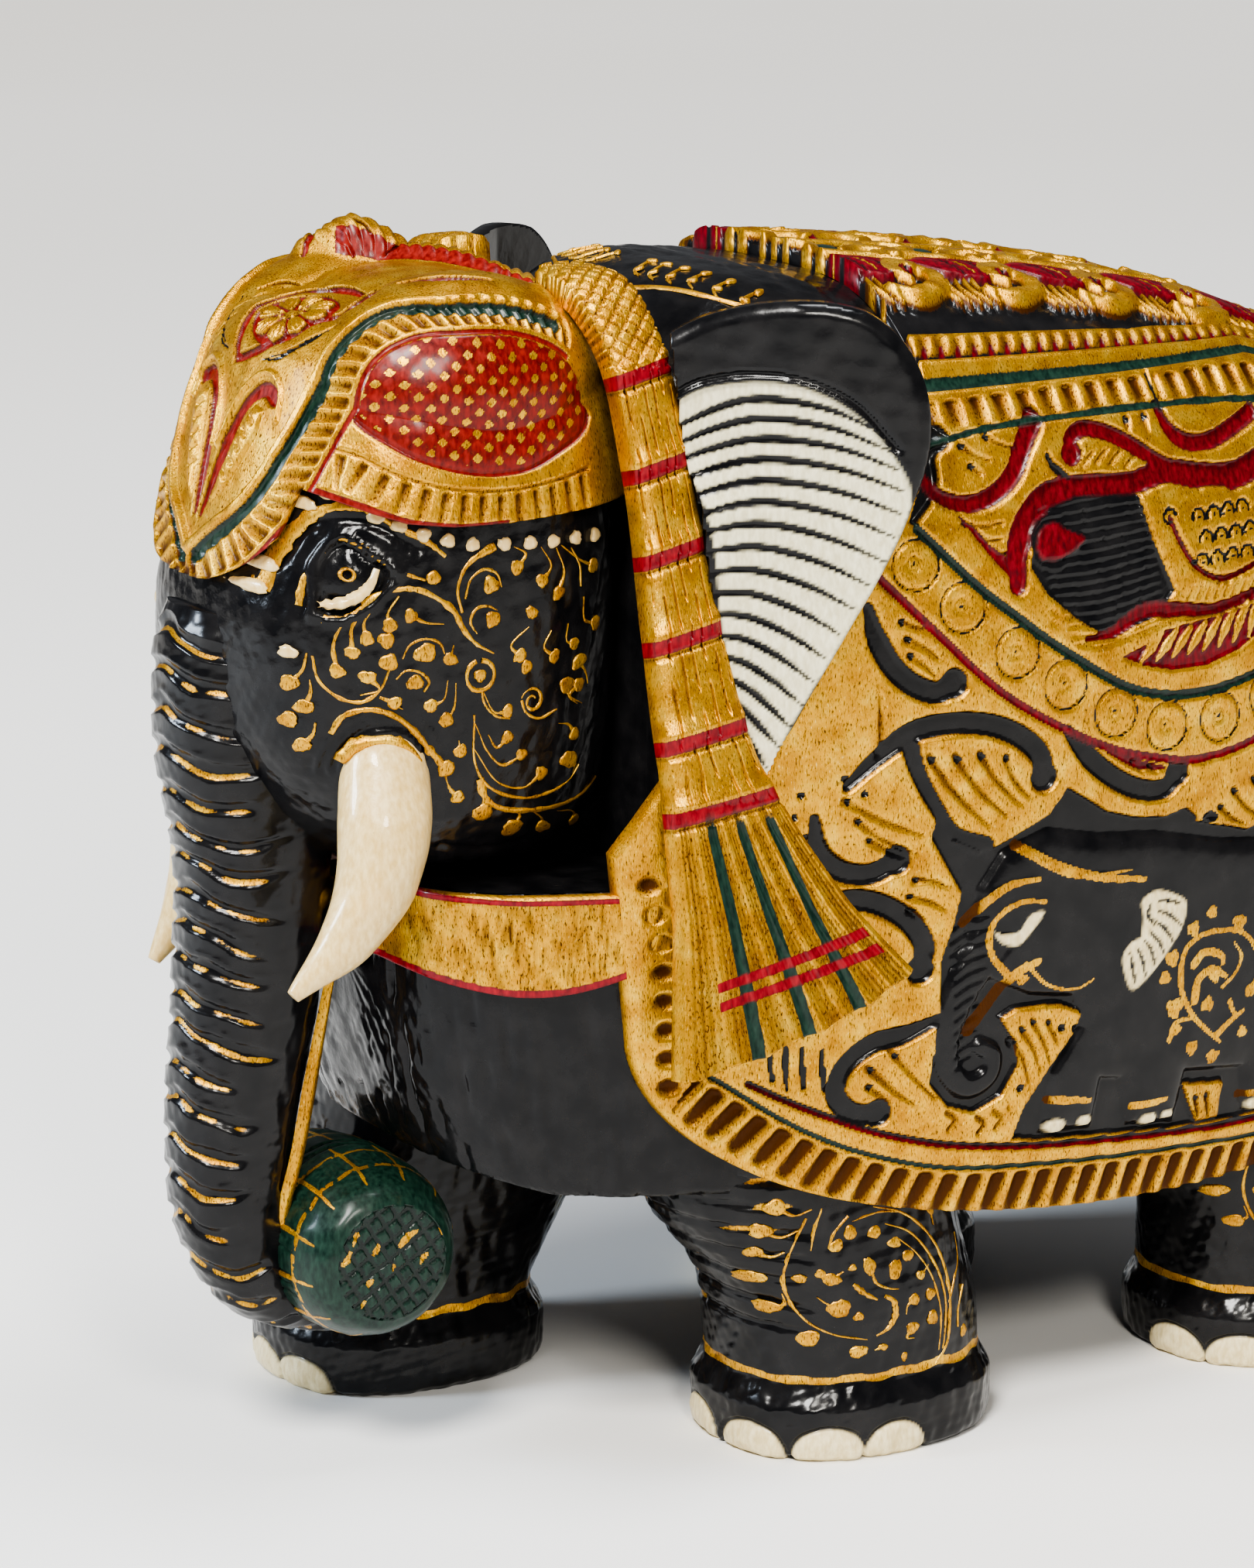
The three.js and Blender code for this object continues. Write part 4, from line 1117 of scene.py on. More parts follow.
def bird_panel(work):
    """Above the swag: a peacock with a dark fanned tail among crimson vines and leaves."""
    hooked(work, [(-14, 226), (-9, 234), (-8.5, 240), (-5, 243.5)], 2.0, 1.8)
    work.channel([(-11, 236), (-7, 231), (0, 228.6), (7, 230), (13, 234), (17, 240), (21, 245.4)],
        (1.2, 1.8, 2.2, 2.4, 2.6), 1.6, "red")
    fluted(work, [(0, 241.6), (4, 239), (8.5, 237.4)], [(2, 237), (4.4, 235), (3, 236.5)],
        [(7, 243), (11, 241), (15, 239.6)], half=0.8)
    fluted(work, [(-2, 224.4), (4, 223.2), (9, 223.8)], [(2, 220.6), (6, 219.8), (9.4, 220.4)],
        [(5, 217), (8, 216.6), (10.4, 217)], half=0.7)
    work.patch([(-3, 226.6), (2, 220), (7, 214), (11.6, 209.6), (12.4, 215), (9, 216), (5, 219), (1.5, 223)],
        1.1, "red")
    work.channel([(12, 209), (12.4, 217), (16, 224), (22, 228.4), (34, 229.4), (46, 229.4), (56, 231),
        (66, 229), (76, 228), (90, 232), (104, 236)], (2.2, 3.4, 3.4, 3.0, 2.6, 2.8, 3.2, 3.2, 3.0, 2.0),
        1.7, "red")
    hooked(work, [(58, 232.4), (52, 235), (46, 238.6), (40, 241.4), (34, 242.4), (30.4, 240.6), (30, 237.4)],
        1.9, 1.6, "red", 1.5)
    hooked(work, [(57, 246), (59, 240.6), (63, 237.2), (70, 236.4), (78, 238.4), (86, 241.4)], 2.0, 1.5,
        "red", 1.0)
    work.channel([(23, 238), (24.4, 235), (29, 231.6)], (0.4, 1.1, 0.3), 1.5, "black")
    for u, v in ((34, 236), (38, 236.4), (42, 235.8), (46, 234.6)):
        work.gouge([(u - 2, v - 1.6), (u, v), (u + 1.6, v + 1)], 0.7, 0.7)
    fluted(work, [(47, 243.6), (47, 240.6)], [(52.4, 243.8), (52.6, 240)], half=0.9)
    tail = [(15.6, 213), (17.4, 221), (23, 226), (30, 227.8), (47, 226.6), (50, 216), (55.4, 203.6),
        (50, 198), (36, 194.6), (28, 199.6), (20, 206)]
    work.patch(tail, 1.2, "black", 0.7)
    for k in range(15):
        v = 225 - 2.1 * k
        work.gouge([(20 + 0.9 * max(k - 6, 0), v - 0.12 * k), (34, v + 1.2 - 0.28 * k),
            (49 + 0.2 * k, v + 1.6 - 0.05 * k)], 0.55, 0.55)
    for k in range(46):
        u, v = 20 + (k * 7.3) % 31, 198 + (k * 4.9) % 27
        if 0.55 * (u - 18) > 201 - v:
            work.gouge([(u, v), (u + 1.6, v - 1.4)], 0.35, 0.5)
    work.patch(curve((17.6, 217), (19, 220.8), (23, 222.4), (27, 220), (31.4, 218), (27, 215), (23, 213.8),
        (19, 214.4), (17.6, 217)), 0.7, "red", 0.6)
    work.channel(ring((22.6, 218), 6.2, 0.6, 0.22), 0.35, 0.9, "black")
    body = [(47.4, 226.6), (53, 225.4), (60, 224.4), (66, 226.4), (73, 226), (80, 221), (86, 219), (90, 212),
        (86, 204.4), (78, 201), (68, 200), (60, 200.4), (55.4, 204), (50.6, 215)]
    work.patch(body, 0.1, "gold", 0.6, 0.7)
    work.channel([(55, 220.6), (57.6, 214.6), (62, 208.4), (69, 205), (77, 206.4), (86, 210)], 0.7, 0.9,
        "red")
    work.gouge(ring((55, 221), 1.7, 0.8, 0.0), 0.5, 0.9, "black")
    for k in range(14):
        row, column = divmod(k, 5)
        u, v = 63.5 + 4.6 * column + 1.6 * (row % 2), 209.6 + 5.2 * row + 0.2 * column
        work.gouge(ring((u, v), 1.9, 0.62, -0.06), 0.45, 0.9, "black")
        work.dot(u, v, 0.5, 0.5, "black")
    for k in range(9):
        work.gouge([(59 + 2.7 * k, 201), (60.6 + 2.7 * k, 204)], 0.6, 0.7)
    work.channel([(30, 194.6), (38, 195.6), (46, 199.4), (56, 199), (66, 198), (76, 199.4), (88, 203),
        (100, 212)], (0.6, 1.6, 1.9, 1.3, 1.4, 1.5, 0.8), 1.7, "red")
    leaf = [(40, 189.6), (46, 191.6), (52, 194.6), (60, 195.6), (70, 196.4), (80, 198), (92, 201), (84, 193),
        (74, 187.4), (64, 184.8), (54, 185), (46, 186.8)]
    work.patch(leaf, 0.9, "red", 0.6)
    for k in range(8):
        work.channel([(45 + 4.6 * k, 187.8 + 0.05 * k * k), (48.6 + 4.4 * k, 191.4 + 0.1 * k * k),
            (51 + 4.4 * k, 194 + 0.12 * k * k)], (0.4, 1.35, 0.7), 0.0, "gold")
    for u, v in ((98, 222), (108, 228), (100, 204)):
        hooked(work, [(u - 6, v - 4), (u - 2, v + 4), (u + 5, v + 3), (u + 6, v - 3)], 1.6, 1.5, "red")
        fluted(work, [(u, v), (u + 2, v - 3.4)], [(u - 2, v - 2), (u, v - 5)], half=0.8)


def vines(work):
    """Below the swag: black vines that curl round fluted gold leaves."""
    hooked(work, [(-26.5, 207), (-24.6, 200), (-20.4, 192.6), (-15, 188), (-9.6, 186.2), (-5.6, 188)], 2.6)
    fluted(work, [(-19, 203.4), (-14.4, 201.6), (-10.6, 200.6)], [(-17.6, 199.4), (-12.4, 196.6),
        (-9.4, 194)], [(-17, 195.6), (-12.6, 192.4), (-10.6, 190)], half=0.8)
    hooked(work, [(-32, 166), (-24, 172.6), (-16, 177.4), (-6, 178.6), (4, 177.2), (12, 173.6),
        (17.4, 168.6), (18.4, 163.4)], 2.6)
    fluted(work, [(-12, 171.4), (-6, 163), (4, 153)], [(-5.4, 171), (0, 163.4), (8.4, 155)],
        [(1, 170.8), (5, 164.8), (12.4, 157)], [(8, 169.4), (9.6, 164.8), (14.6, 158.6)],
        [(-13.6, 166.4), (-10, 159.6), (-3, 152)], half=0.95)
    work.channel([(-17, 176), (-14.6, 168), (-10.4, 160), (-5, 152.4), (3, 148.6)],
        (2.2, 1.9, 1.7, 1.6, 2.2), 1.7, "black")
    hooked(work, [(24.6, 174), (30, 167.4), (38, 160.8), (46, 157), (52.4, 156.6), (56, 160)], 2.5)
    work.channel([(36, 167.4), (44, 163.6), (52, 161.6)], (0.4, 1.1, 0.5), 0.9, "red")
    fluted(work, [(43, 164.2), (46, 161)], [(48, 162.8), (50, 160.6)], half=0.6)
    work.gouge([(-24.6, 188), (-24, 180), (-24.4, 172)], (0.3, 1.0, 0.4), 1.0)
    hooked(work, [(-40, 159), (-38.6, 151), (-33, 146), (-26, 144.8), (-19.6, 147.4)], 2.5)
    fluted(work, [(-30, 158), (-24, 153), (-15, 148.6)], [(-27, 153), (-22, 150), (-17, 147.6)],
        [(-33, 163), (-25, 158), (-13, 152.6)], half=0.8)
    drilled(work, (-45, 160), (-42.4, 155), (-43.6, 165), (-33, 168), (-28, 164))
    hooked(work, [(-40, 137), (-32, 139), (-24, 137.4), (-16.4, 132.4), (-12.4, 126), (-13.4, 120.6)], 2.6)
    fluted(work, [(-15.4, 142.4), (-10, 141.4), (-6.4, 139.6)], [(-17, 138.6), (-11, 136.6), (-7.4, 134.4)],
        [(-16, 135), (-11.6, 132)], half=0.7)
    hooked(work, [(-8, 108), (-17, 105), (-25, 103.6), (-32, 98.4), (-33.6, 92), (-29, 87), (-23, 86.4)],
        2.5)
    fluted(work, [(-20, 101), (-14, 94), (-8.6, 88.4)], [(-26, 98), (-19, 91.4), (-13, 87)],
        [(-26, 93.4), (-20, 88.6)], half=0.8)
    for u, v in ((-46.5, 101), (-42.4, 100.6), (-37.4, 99.4), (-50, 103)):
        work.gouge([(u, v + 4), (u, v), (u + 0.6, v - 6)], (0.7, 0.9, 0.5), 1.0, "black")
    for u, v in ((4, 80.4), (8.6, 81.2), (-4, 82.6), (12.6, 81.6)):
        work.gouge([(u - 1.4, v + 2), (u + 1, v), (u - 0.6, v - 2.4)], 0.8, 1.0)
    for u, v, way in ((116, 168, 1), (118, 140, -1), (116, 112, 1), (112, 90, -1), (104, 160, -1)):
        hooked(work, [(u - 8, v + 10), (u - 9, v + 2), (u - 4, v - 5), (u + 4, v - 6), (u + 7, v - 1)], 2.3)
        fluted(work, [(u - 2, v + 8), (u + 2, v + 3), (u + 8, v - 1)], [(u - 4, v + 5), (u, v),
            (u + 4, v - 2.4)], [(u + 2, v + 10 * way), (u + 8, v + 6 * way)], half=0.8)
    drilled(work, (106, 176), (111, 181), (124, 176), (125, 150), (110, 152), (124, 124), (107, 126),
        (118, 98))


GROUND = ((-9, 158), (-5, 150), (2, 146.6), (10, 149.6), (20, 154), (25, 160), (30, 157), (36, 153),
    (44, 150.6), (53, 149.6), (59, 151), (64, 147), (78, 143), (90, 147), (99, 146), (104, 136), (106, 120),
    (104, 102), (101, 88), (96, 76), (90, 71), (80, 69.8), (60, 70.8), (40, 72.4), (20, 74), (13, 75.4),
    (16, 84), (22, 92), (29, 101), (30, 105), (24, 107.6), (12, 108), (8, 106), (12, 100), (13.4, 94),
    (9, 86.6), (2, 83.6), (-5, 86), (-10, 92), (-9.4, 99), (-5, 105), (-8, 110), (-8, 122), (-5, 130),
    (-3, 138), (-7, 145), (-11, 152))
BEAST = ((8, 146), (20, 150), (34, 147), (50, 145.6), (70, 141), (86, 139), (96, 130), (101, 114), (99, 94),
    (94, 74.6), (82, 73.4), (80, 83), (62, 85), (59.6, 72.6), (46, 74), (43, 86), (37, 87), (35.4, 75),
    (21, 76), (23.4, 90), (30.6, 101), (28, 109), (16, 111), (5, 116), (0, 126), (2, 138))


def beast(work):
    """A small black elephant in relief, with its own scrolls, striped ear and toenails."""
    work.patch(GROUND, 1.9, "black", 0.7)
    work.patch(BEAST, 1.0, "black", 1.2, 1.3)
    work.channel([(6, 126), (1, 119), (-3.6, 111), (-6, 103), (-5, 95), (0, 90), (5.6, 92), (6.6, 97),
        (3, 99.6)], (5, 4.4, 3.6, 2.8, 2.4, 1.8), 0.3, "black", 1.6)
    for k in range(12):
        z = 131 - 3.1 * k
        work.gouge([(-5 + 0.1 * k, z - 2), (-1, z), (4 - 0.2 * k, z + 1)], 0.6, 0.45)
    lobe = curve((46, 121), (46.6, 126), (46, 130), (50, 132), (55, 130.6), (59, 128), (58, 122),
        (54, 116.6), (49.6, 112), (44, 108.4), (41.6, 113), (41, 117), (43, 120), (46, 121))
    work.patch(lobe, -0.4, "cream", 0.6, 0.4)
    for points in ([(50.6, 129.6), (54, 129), (57, 128)], [(50, 127.4), (54, 125.6), (57.8, 122.6)],
            [(48.6, 125.4), (52.6, 122.6), (55.6, 118.6)], [(48, 122.6), (51, 119.6), (53, 116)],
            [(47, 120.4), (49, 117.4), (50.4, 113.6)], [(44.8, 119), (46.4, 115.6), (47.6, 111.4)],
            [(42.8, 118), (43.8, 114), (44.6, 110)], [(48.6, 129.4), (47.8, 126.6), (49.4, 124)]):
        work.gouge(points, (0.2, 0.62, 0.3), 0.4, "black")
    strokes = (
        (1.3, [(11.4, 147.6), (15, 145.4), (20, 142.6), (27, 139.6), (36, 137), (46.6, 135.4)]),
        (0.35, [(17, 143), (26, 138.6), (36, 138), (45, 138.4)]),
        (1.2, [(-2, 130.4), (4, 135.6), (10, 138.6), (17, 139)]),
        (0.9, [(9, 117), (5, 122), (4.4, 127.6), (7.4, 132), (12.6, 134), (19, 133.4)]),
        (1.7, [(0, 104), (6, 111), (12, 117), (17.4, 119)]),
        (0.5, [(14, 119), (20, 113), (28, 110.6), (33, 112.6)]),
        (1.1, [(22.6, 83.6), (28, 83), (34, 82)]), (1.1, [(46.6, 78.6), (51, 78.4), (56, 79)]),
        (1.1, [(80, 75.6), (87, 75)]),
        (0.7, [(58, 112), (59.6, 116.4), (64, 119), (70, 119.4), (77, 117.6), (81, 113), (82, 107),
            (79, 101.4)]),
        (0.8, [(58, 112), (58.6, 106), (62, 99.6), (67, 94.6), (71.4, 91)]),
        (1.2, [(62, 112), (65, 114.6), (70.4, 113), (71, 111)]),
        (1.2, [(62.6, 103), (63.6, 108), (67.6, 110), (72, 107.6)]),
        (0.5, [(71, 105), (75, 108), (76.6, 112), (74, 116)]),
        (0.7, [(55.6, 94), (57, 98), (62, 98.6)]), (0.7, [(73.6, 101), (74.6, 98.6), (76, 97)]),
        (0.9, [(70, 93), (73.6, 95.6), (78, 98)]),
    )
    for half, points in strokes:
        work.stroke(points, np.array([1, 0.9, 0.8, 0.5]) * half, "gold")
    for u, v, wide in ((61.5, 121, 1.8), (67, 124.4, 1.5), (75.6, 120.4, 2.0), (55.4, 114.6, 2.0),
            (53.4, 110, 1.6), (56.6, 102, 2.4), (66.6, 101.4, 1.8), (68.6, 108.6, 1.9), (62.6, 91, 1.8),
            (69.4, 87.6, 1.8), (78, 92.6, 1.4), (80, 103, 1.6), (57.6, 96.4, 1.3), (13.4, 115, 1.4),
            (88, 118, 1.6), (90, 106, 1.8)):
        work.dab(u, v, wide, "gold")
    work.patch(curve((5.2, 127.6), (8, 124.4), (12, 123.8), (15.6, 126.8), (18.6, 131), (15, 130.6),
        (12, 127), (8.6, 126.4), (5.2, 127.6)), -0.1, "cream", 0.5)
    for u, v, wide in ((24.4, 76.8, 2.9), (32.6, 77, 2.1), (51.4, 74.4, 2.4), (57, 74.8, 1.7),
            (84.6, 72.6, 2.6), (90.4, 73.4, 2.0)):
        work.patch(ring((u, v), wide) * (1, 0.6) + (0, v * 0.4), -0.3, "cream", 0.5)
    work.patch([(61, 82), (74, 80.4), (73.4, 71), (66.6, 71), (63.4, 77)], 0.3, "gold", 0.5)
    fluted(work, [(65.6, 77.6), (67.4, 71)], [(69, 77.8), (70.4, 71)], half=0.7)
    work.patch([(8, 106), (12, 107.4), (20, 107.8), (30, 104.4), (29.4, 101), (22, 92), (15, 82), (13, 76),
        (11, 80), (12.6, 90), (13.6, 96), (11.6, 101)], 0.0, "gold", 0.5)
    fluted(work, [(11.4, 100), (14.6, 95), (16.6, 88)], [(13.6, 103), (17.4, 97), (19.4, 91.4)],
        [(16.6, 104.6), (20.4, 98), (22, 93)], [(21, 103.6), (24, 97.6)], half=0.8)
    drilled(work, (24.6, 101.6), (28.6, 101), (14, 88), radius=1.2)
    work.patch([(62, 147.4), (66, 152.4), (72, 157), (82, 160), (92, 158), (96, 152), (84, 144.6), (76, 144),
        (68, 145.6)], 0.0, "gold", 0.5)
    fluted(work, [(73, 153.6), (77, 149), (82, 145.6)], [(69, 150), (73, 146.6), (77, 144.4)],
        [(79, 155.6), (84, 151), (90, 147.6)], half=0.85)
    work.dot(66, 147.8, 1.7, 1.0, "black", 1.5)


def borders(work):
    """The hem: a red line, a plain gold band, a green strip and a row of scooped pockets."""
    down = BAND_FOOT[::-1]
    outside = work.inside(np.vstack([BAND_FOOT, [(150, 240), (150, 40), (-90, 40), (-90, 101)]]))
    strip = work.inside(np.vstack([BAND_TOP, down]))
    for zone in (outside, strip):
        work.height[zone] = 0.0
        work.cover("gold", zone, 1.0)
    work.channel(BAND_TOP, 0.75, 1.2, "black")
    work.channel(BAND_TOP - (0, 0.6), 0.4, 0.5, "red")
    work.pockets(down, 0.9, 11.6, 6.5, 2.0, None, -0.16, 0.8)
    work.channel(BAND_FOOT, 0.6, 0.8, "green")
    grain = np.abs(lumps(work.u * 3, work.v * 0.2, 0, 3, 21))
    work.height[outside] -= 0.12 * grain[outside]


def front_edge(work):
    """The cloth's front border: plain gold with a column of round scoops."""
    zone = work.inside(np.array([(-90, 160), (-79, 160), (-73.6, 140), (-71, 118), (-66, 101), (-90, 99)]))
    work.height[zone] = 0
    work.cover("gold", zone, 1)
    for k in range(8):
        work.dot(-75.6 + 0.35 * k - 1.1 * max(0, 2 - k), 146 - 6.9 * k, 2.5, 1.4, None, 1.35)
    work.channel([(-72.6, 160), (-71.6, 140), (-68, 116), (-64, 100)], 0.5, 0.8, "black")


EAR_EDGE = np.vstack([
    [(-80, 255)], bezier((-80, 255), (-76, 270), (-52, 284), (-32, 276)), bezier((-32, 276), (-18, 268),
        (-16, 248), (-22, 233)),
    bezier((-22, 233), (-28, 211), (-44, 190), (-53, 166)), [(-66, 168), (-80, 196)],
])


def saddle_cloth():
    """The carved cloth on both flanks, hollowed under the ear so that the ear lies clear of it."""
    points, faces = cut_sheet(CLOTH_EDGE, 0.62)
    work = Carving(points[:, 0], points[:, 1], "gold")
    work.height += 0.14 * lumps(work.u, work.v, 0, 9, 12)
    vines(work)
    beast(work)
    bird_panel(work)
    swag(work)
    top_border(work)
    borders(work)
    front_edge(work)
    work.height[work.inside(EAR_EDGE)] -= 4.4
    face = lambda y, z, height: torso_side(y, z, CLOTH_LIFT + height)
    for label, side in SIDES.items():
        piece = carved(f"saddle_carving_{label}", work, faces, face, -CLOTH_LIFT, CLOTH_PAINT,
            side)
        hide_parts(f"saddle_cloth_{label}")


def saddle_bird(work, y):
    """One bird among vines on the saddle's top: raised gold and crimson over black hollows."""
    at = lambda *spots: curve(*[(y + u, v) for u, v in spots])
    work.patch(np.array([(y - 9, 29), (y - 2, 37), (y + 8, 40), (y + 17, 36), (y + 20, 30), (y + 8, 25),
        (y - 3, 24)]), 0.0, "red", 0.7, 1.3)
    for k in range(6):
        work.gouge(at((-3 + 3.4 * k, 26 + 0.5 * k), (1 + 3.4 * k, 31), (3 + 3 * k, 37)), (0.3, 0.7, 0.3),
            0.7, "gold" if k % 2 else "black")
    ropes = (
        ((-16, 47), (-9, 45), (-7, 37), (-12, 32), (-17, 36), (-14, 41)),
        ((-12, 22), (-4, 20), (6, 22), (16, 24), (22, 31)),
        ((-13, 9), (-7, 14), (2, 14), (5, 8), (0, 5)),
        ((8, 18), (14, 14), (20, 16), (21, 22)),
        ((5, 45), (11, 48), (17, 45), (20, 39)),
    )
    for rope in ropes:
        work.gouge(at(*rope), (1.6, 2.9, 2.9, 2.5, 1.6), -3.4, "gold")
    for k in range(5):
        work.gouge(at((-5 + 2.7 * k, 49), (-7 + 2.7 * k, 44), (-6 + 2.4 * k, 39.5)), (0.7, 1.3, 0.7), -2.2,
            "gold")
    work.patch(np.array([(y + 7, 12), (y + 12, 10), (y + 15, 4), (y + 9, 3), (y + 5, 7)]), 0.6, "green", 0.6,
        0.9)
    work.dot(y + 17, 9, 3.2, -2.6, "red")
    drilled(work, (y - 12, 28), (y + 1, 18), (y + 12, 19), (y - 9, 25))


BIRD_PITCH = 27


def saddle_top():
    """The top of the saddle: birds, leaves and vines cut deep on both sides of the spine."""
    edge_y, edge_z = (-5.6, 92, 122, 139), (253.9, 253.9, 246.4, 234.4)
    ys, xs = np.linspace(edge_y[0], edge_y[-1], 240), np.linspace(-1, 1, 220)
    path = torso_side(ys, np.interp(ys, edge_y, edge_z), CLOTH_LIFT)
    y = np.repeat(ys, len(xs))
    x = (path[:, :1] * xs).ravel()
    work = Carving(y, np.abs(x), "black")
    work.height -= 2.3 + 0.3 * lumps(y, x, 0, 7, 81)
    rim = np.column_stack([ys, path[:, 0]])
    for place in range(-6, 150, BIRD_PITCH):
        saddle_bird(work, place)
    work.height = np.minimum(work.height, 1.2 + 0.3 * lumps(y, x, 0, 5, 82))
    work.patch(np.vstack([rim + (0, 3), (rim - (0, 9.5))[::-1]]), 0.2, "gold", 0.6)
    work.pockets((rim - (0, 9.2))[::-1], -4.4, 4.2, 4.6, 1.1, "red", 0.4, 0.7)
    spine = curve((-5, 0), (60, 0), (138, 0))
    work.channel(spine, 1.6, -0.5, "gold")
    work.channel(rim - (0, 1.4), 0.9, 0.7, "green")
    work.channel(rim - (0, 3.4), 0.9, -0.2, "gold")
    work.channel(rim - (0, 5.2), 0.5, 1.3, "black")
    points = torso_top(x, y, CLOTH_LIFT + work.height)
    back = torso_top(x, y, 0.0 * x)
    points, faces, rim_ids = walled(points, grid_faces(len(ys), len(xs)), back)
    marks = wall_marks(work.paint, work.height, rim_ids)
    piece = make("saddle_top_carving", points, faces, CLOTH_PAINT, marks, flip=True)
    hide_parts("saddle_top")


# ---- Headdress ----

CROWN = np.array([0.0, -106.0, 238.0])
DOME_CENTRE, DOME_HALF = np.array([25, -106, 258]), np.array([25, 37, 26])
HEADDRESS_LIFT, HEADDRESS_THICKNESS = 4, 3.6
PLATE_RADIUS = 58
HEADDRESS_EDGE = ((-190, 204), (-175, 205), (-163, 216), (-155, 227), (-149.5, 239.5), (-138, 234.8),
    (-131, 232.4), (-120, 231), (-107, 230.8), (-50, 233))
FLUTE_TOP = curve((-149, 249), (-140, 247.6), (-133, 243.6), (-125, 240.6), (-115, 238.6), (-105, 238),
    (-95, 238.8), (-84, 240.4))
ALMOND = curve((-139, 258), (-136, 264.5), (-130, 270.5), (-122, 275), (-113, 277), (-103, 276.5),
    (-94, 274), (-87, 269), (-83, 262), (-82, 255), (-84, 249.6), (-92, 245.6), (-100, 242.8), (-108, 242.2),
    (-117, 243.4), (-127, 246.8), (-132, 249.8), (-137, 253.8), (-139, 258))
PLATE_EDGE = curve((0, -16), (4.5, -12.6), (17.5, -3), (24.7, 12), (28.2, 28), (29.5, 46), (32.8, 63),
    (40, 78), (43, 98), (43.6, 118))
PLATE_RIM = curve((-4, -28), (6, -26), (13.5, -22.8), (26, -17), (36.2, -4.7), (40.3, 11), (42.5, 31.7),
    (43.3, 48.2), (46.4, 62), (51, 78), (53, 100), (53, 125))


def crown_level(points):
    """1 on the headdress: the head's own form grown 4 mm, and the two domes."""
    x, y, z = np.abs(points[..., 0]), points[..., 1], points[..., 2]
    middle, wide, long = section_at(z, 2, HEAD_PATH, HEAD_SIZE, 1)
    across, ahead = x / (wide + HEADDRESS_LIFT), np.abs((y - middle) / (long + HEADDRESS_LIFT))
    top = np.clip((z - 262) / 20, 0, 2) ** 5
    form = (across**HEAD_POWER + ahead**HEAD_POWER + top) ** (1 / HEAD_POWER)
    dome = np.linalg.norm((np.stack([x, y, z], -1) - DOME_CENTRE) / DOME_HALF, axis=-1)
    return np.minimum(form, dome)


def crown_hit(way):
    """Where rays from the middle of the crown meet the headdress."""
    near, far = np.zeros(way.shape[:-1]), np.full(way.shape[:-1], 95.0)
    for _ in range(26):
        middle = (near + far) / 2
        out = crown_level(CROWN + way * middle[..., None]) > 1
        near, far = np.where(out, near, middle), np.where(out, middle, far)
    return CROWN + way * near[..., None]


def crown_grid(rows, columns):
    """A grid over the headdress, from its top down to its cut edge."""
    edge = np.array(HEADDRESS_EDGE)
    round_ = np.linspace(0, 2 * math.pi, columns, endpoint=False)
    heading = lambda tilt: np.stack([np.sin(tilt) * np.sin(round_), -np.sin(tilt) * np.cos(round_),
        np.cos(tilt)], -1)
    low, high = np.full(columns, 0.5), np.full(columns, 2.4)
    for _ in range(22):
        middle = (low + high) / 2
        spot = crown_hit(heading(middle))
        above = spot[:, 2] > np.interp(spot[:, 1], edge[:, 0], edge[:, 1])
        low, high = np.where(above, middle, low), np.where(above, high, middle)
    shares = np.linspace(0.004, 1, rows)[:, None]
    return crown_hit(heading(low * shares))


def flower(work, u, v, reach):
    """Eight grooved petals round a raised button."""
    for k in range(8):
        angle = 0.3 + k * math.pi / 4
        at = lambda away, turn=0.0: (u + reach * away * math.cos(angle + turn),
            v + reach * away * math.sin(angle + turn))
        petal = np.array([at(0.2), at(0.6, 0.33), at(0.86, 0.3), at(1.0), at(0.86, -0.3), at(0.6, -0.33)])
        work.patch(petal, 0.2, "gold", 0.5, 0.9)
        for turn in (-0.18, 0, 0.18):
            work.gouge([at(0.35, turn * 0.6), at(0.65, turn), at(0.88, turn * 0.8)], 0.5, 0.55)
    work.dot(u, v, 0.24 * reach, -1.3, "gold")


def paisley(work, side):
    """A hooked crimson channel round a notched gold leaf."""
    flip = lambda *spots: curve(*[(side * u, v) for u, v in spots])
    work.channel(flip((1.5, -9), (3.2, 2), (5.6, 14), (9, 22.5), (14, 26.6), (18.6, 25)),
        (1.0, 1.9, 2.1, 2.0, 1.9, 2.4), 1.7, "red")
    leaf = np.array([(16.4, 20.6), (12.6, 21.4), (9.6, 14), (6.8, 3), (5, -6), (9.6, -1.6), (13.2, 6),
        (16.2, 14)])
    work.patch(leaf * (side, 1), -0.2, "gold", 0.6, 0.9)
    for k in range(5):
        work.gouge(flip((9.4 + 1.2 * k, 0.6 + 4 * k), (7.6 + 1.2 * k, 2.4 + 4 * k)), 0.75, 1.0)
    work.channel(flip((22, 19), (20, 28), (15, 31.4), (9, 29), (3.6, 20), (1.4, 8)), 0.6, -0.5, "gold")
    for k in range(3):
        work.gouge(flip((9 + 3 * k, 34 + 1.6 * k), (15 + 3 * k, 36 + 3.4 * k), (20 + 2.4 * k, 42 + 5 * k)),
            (0.2, 0.6, 0.2), 0.7, "black")


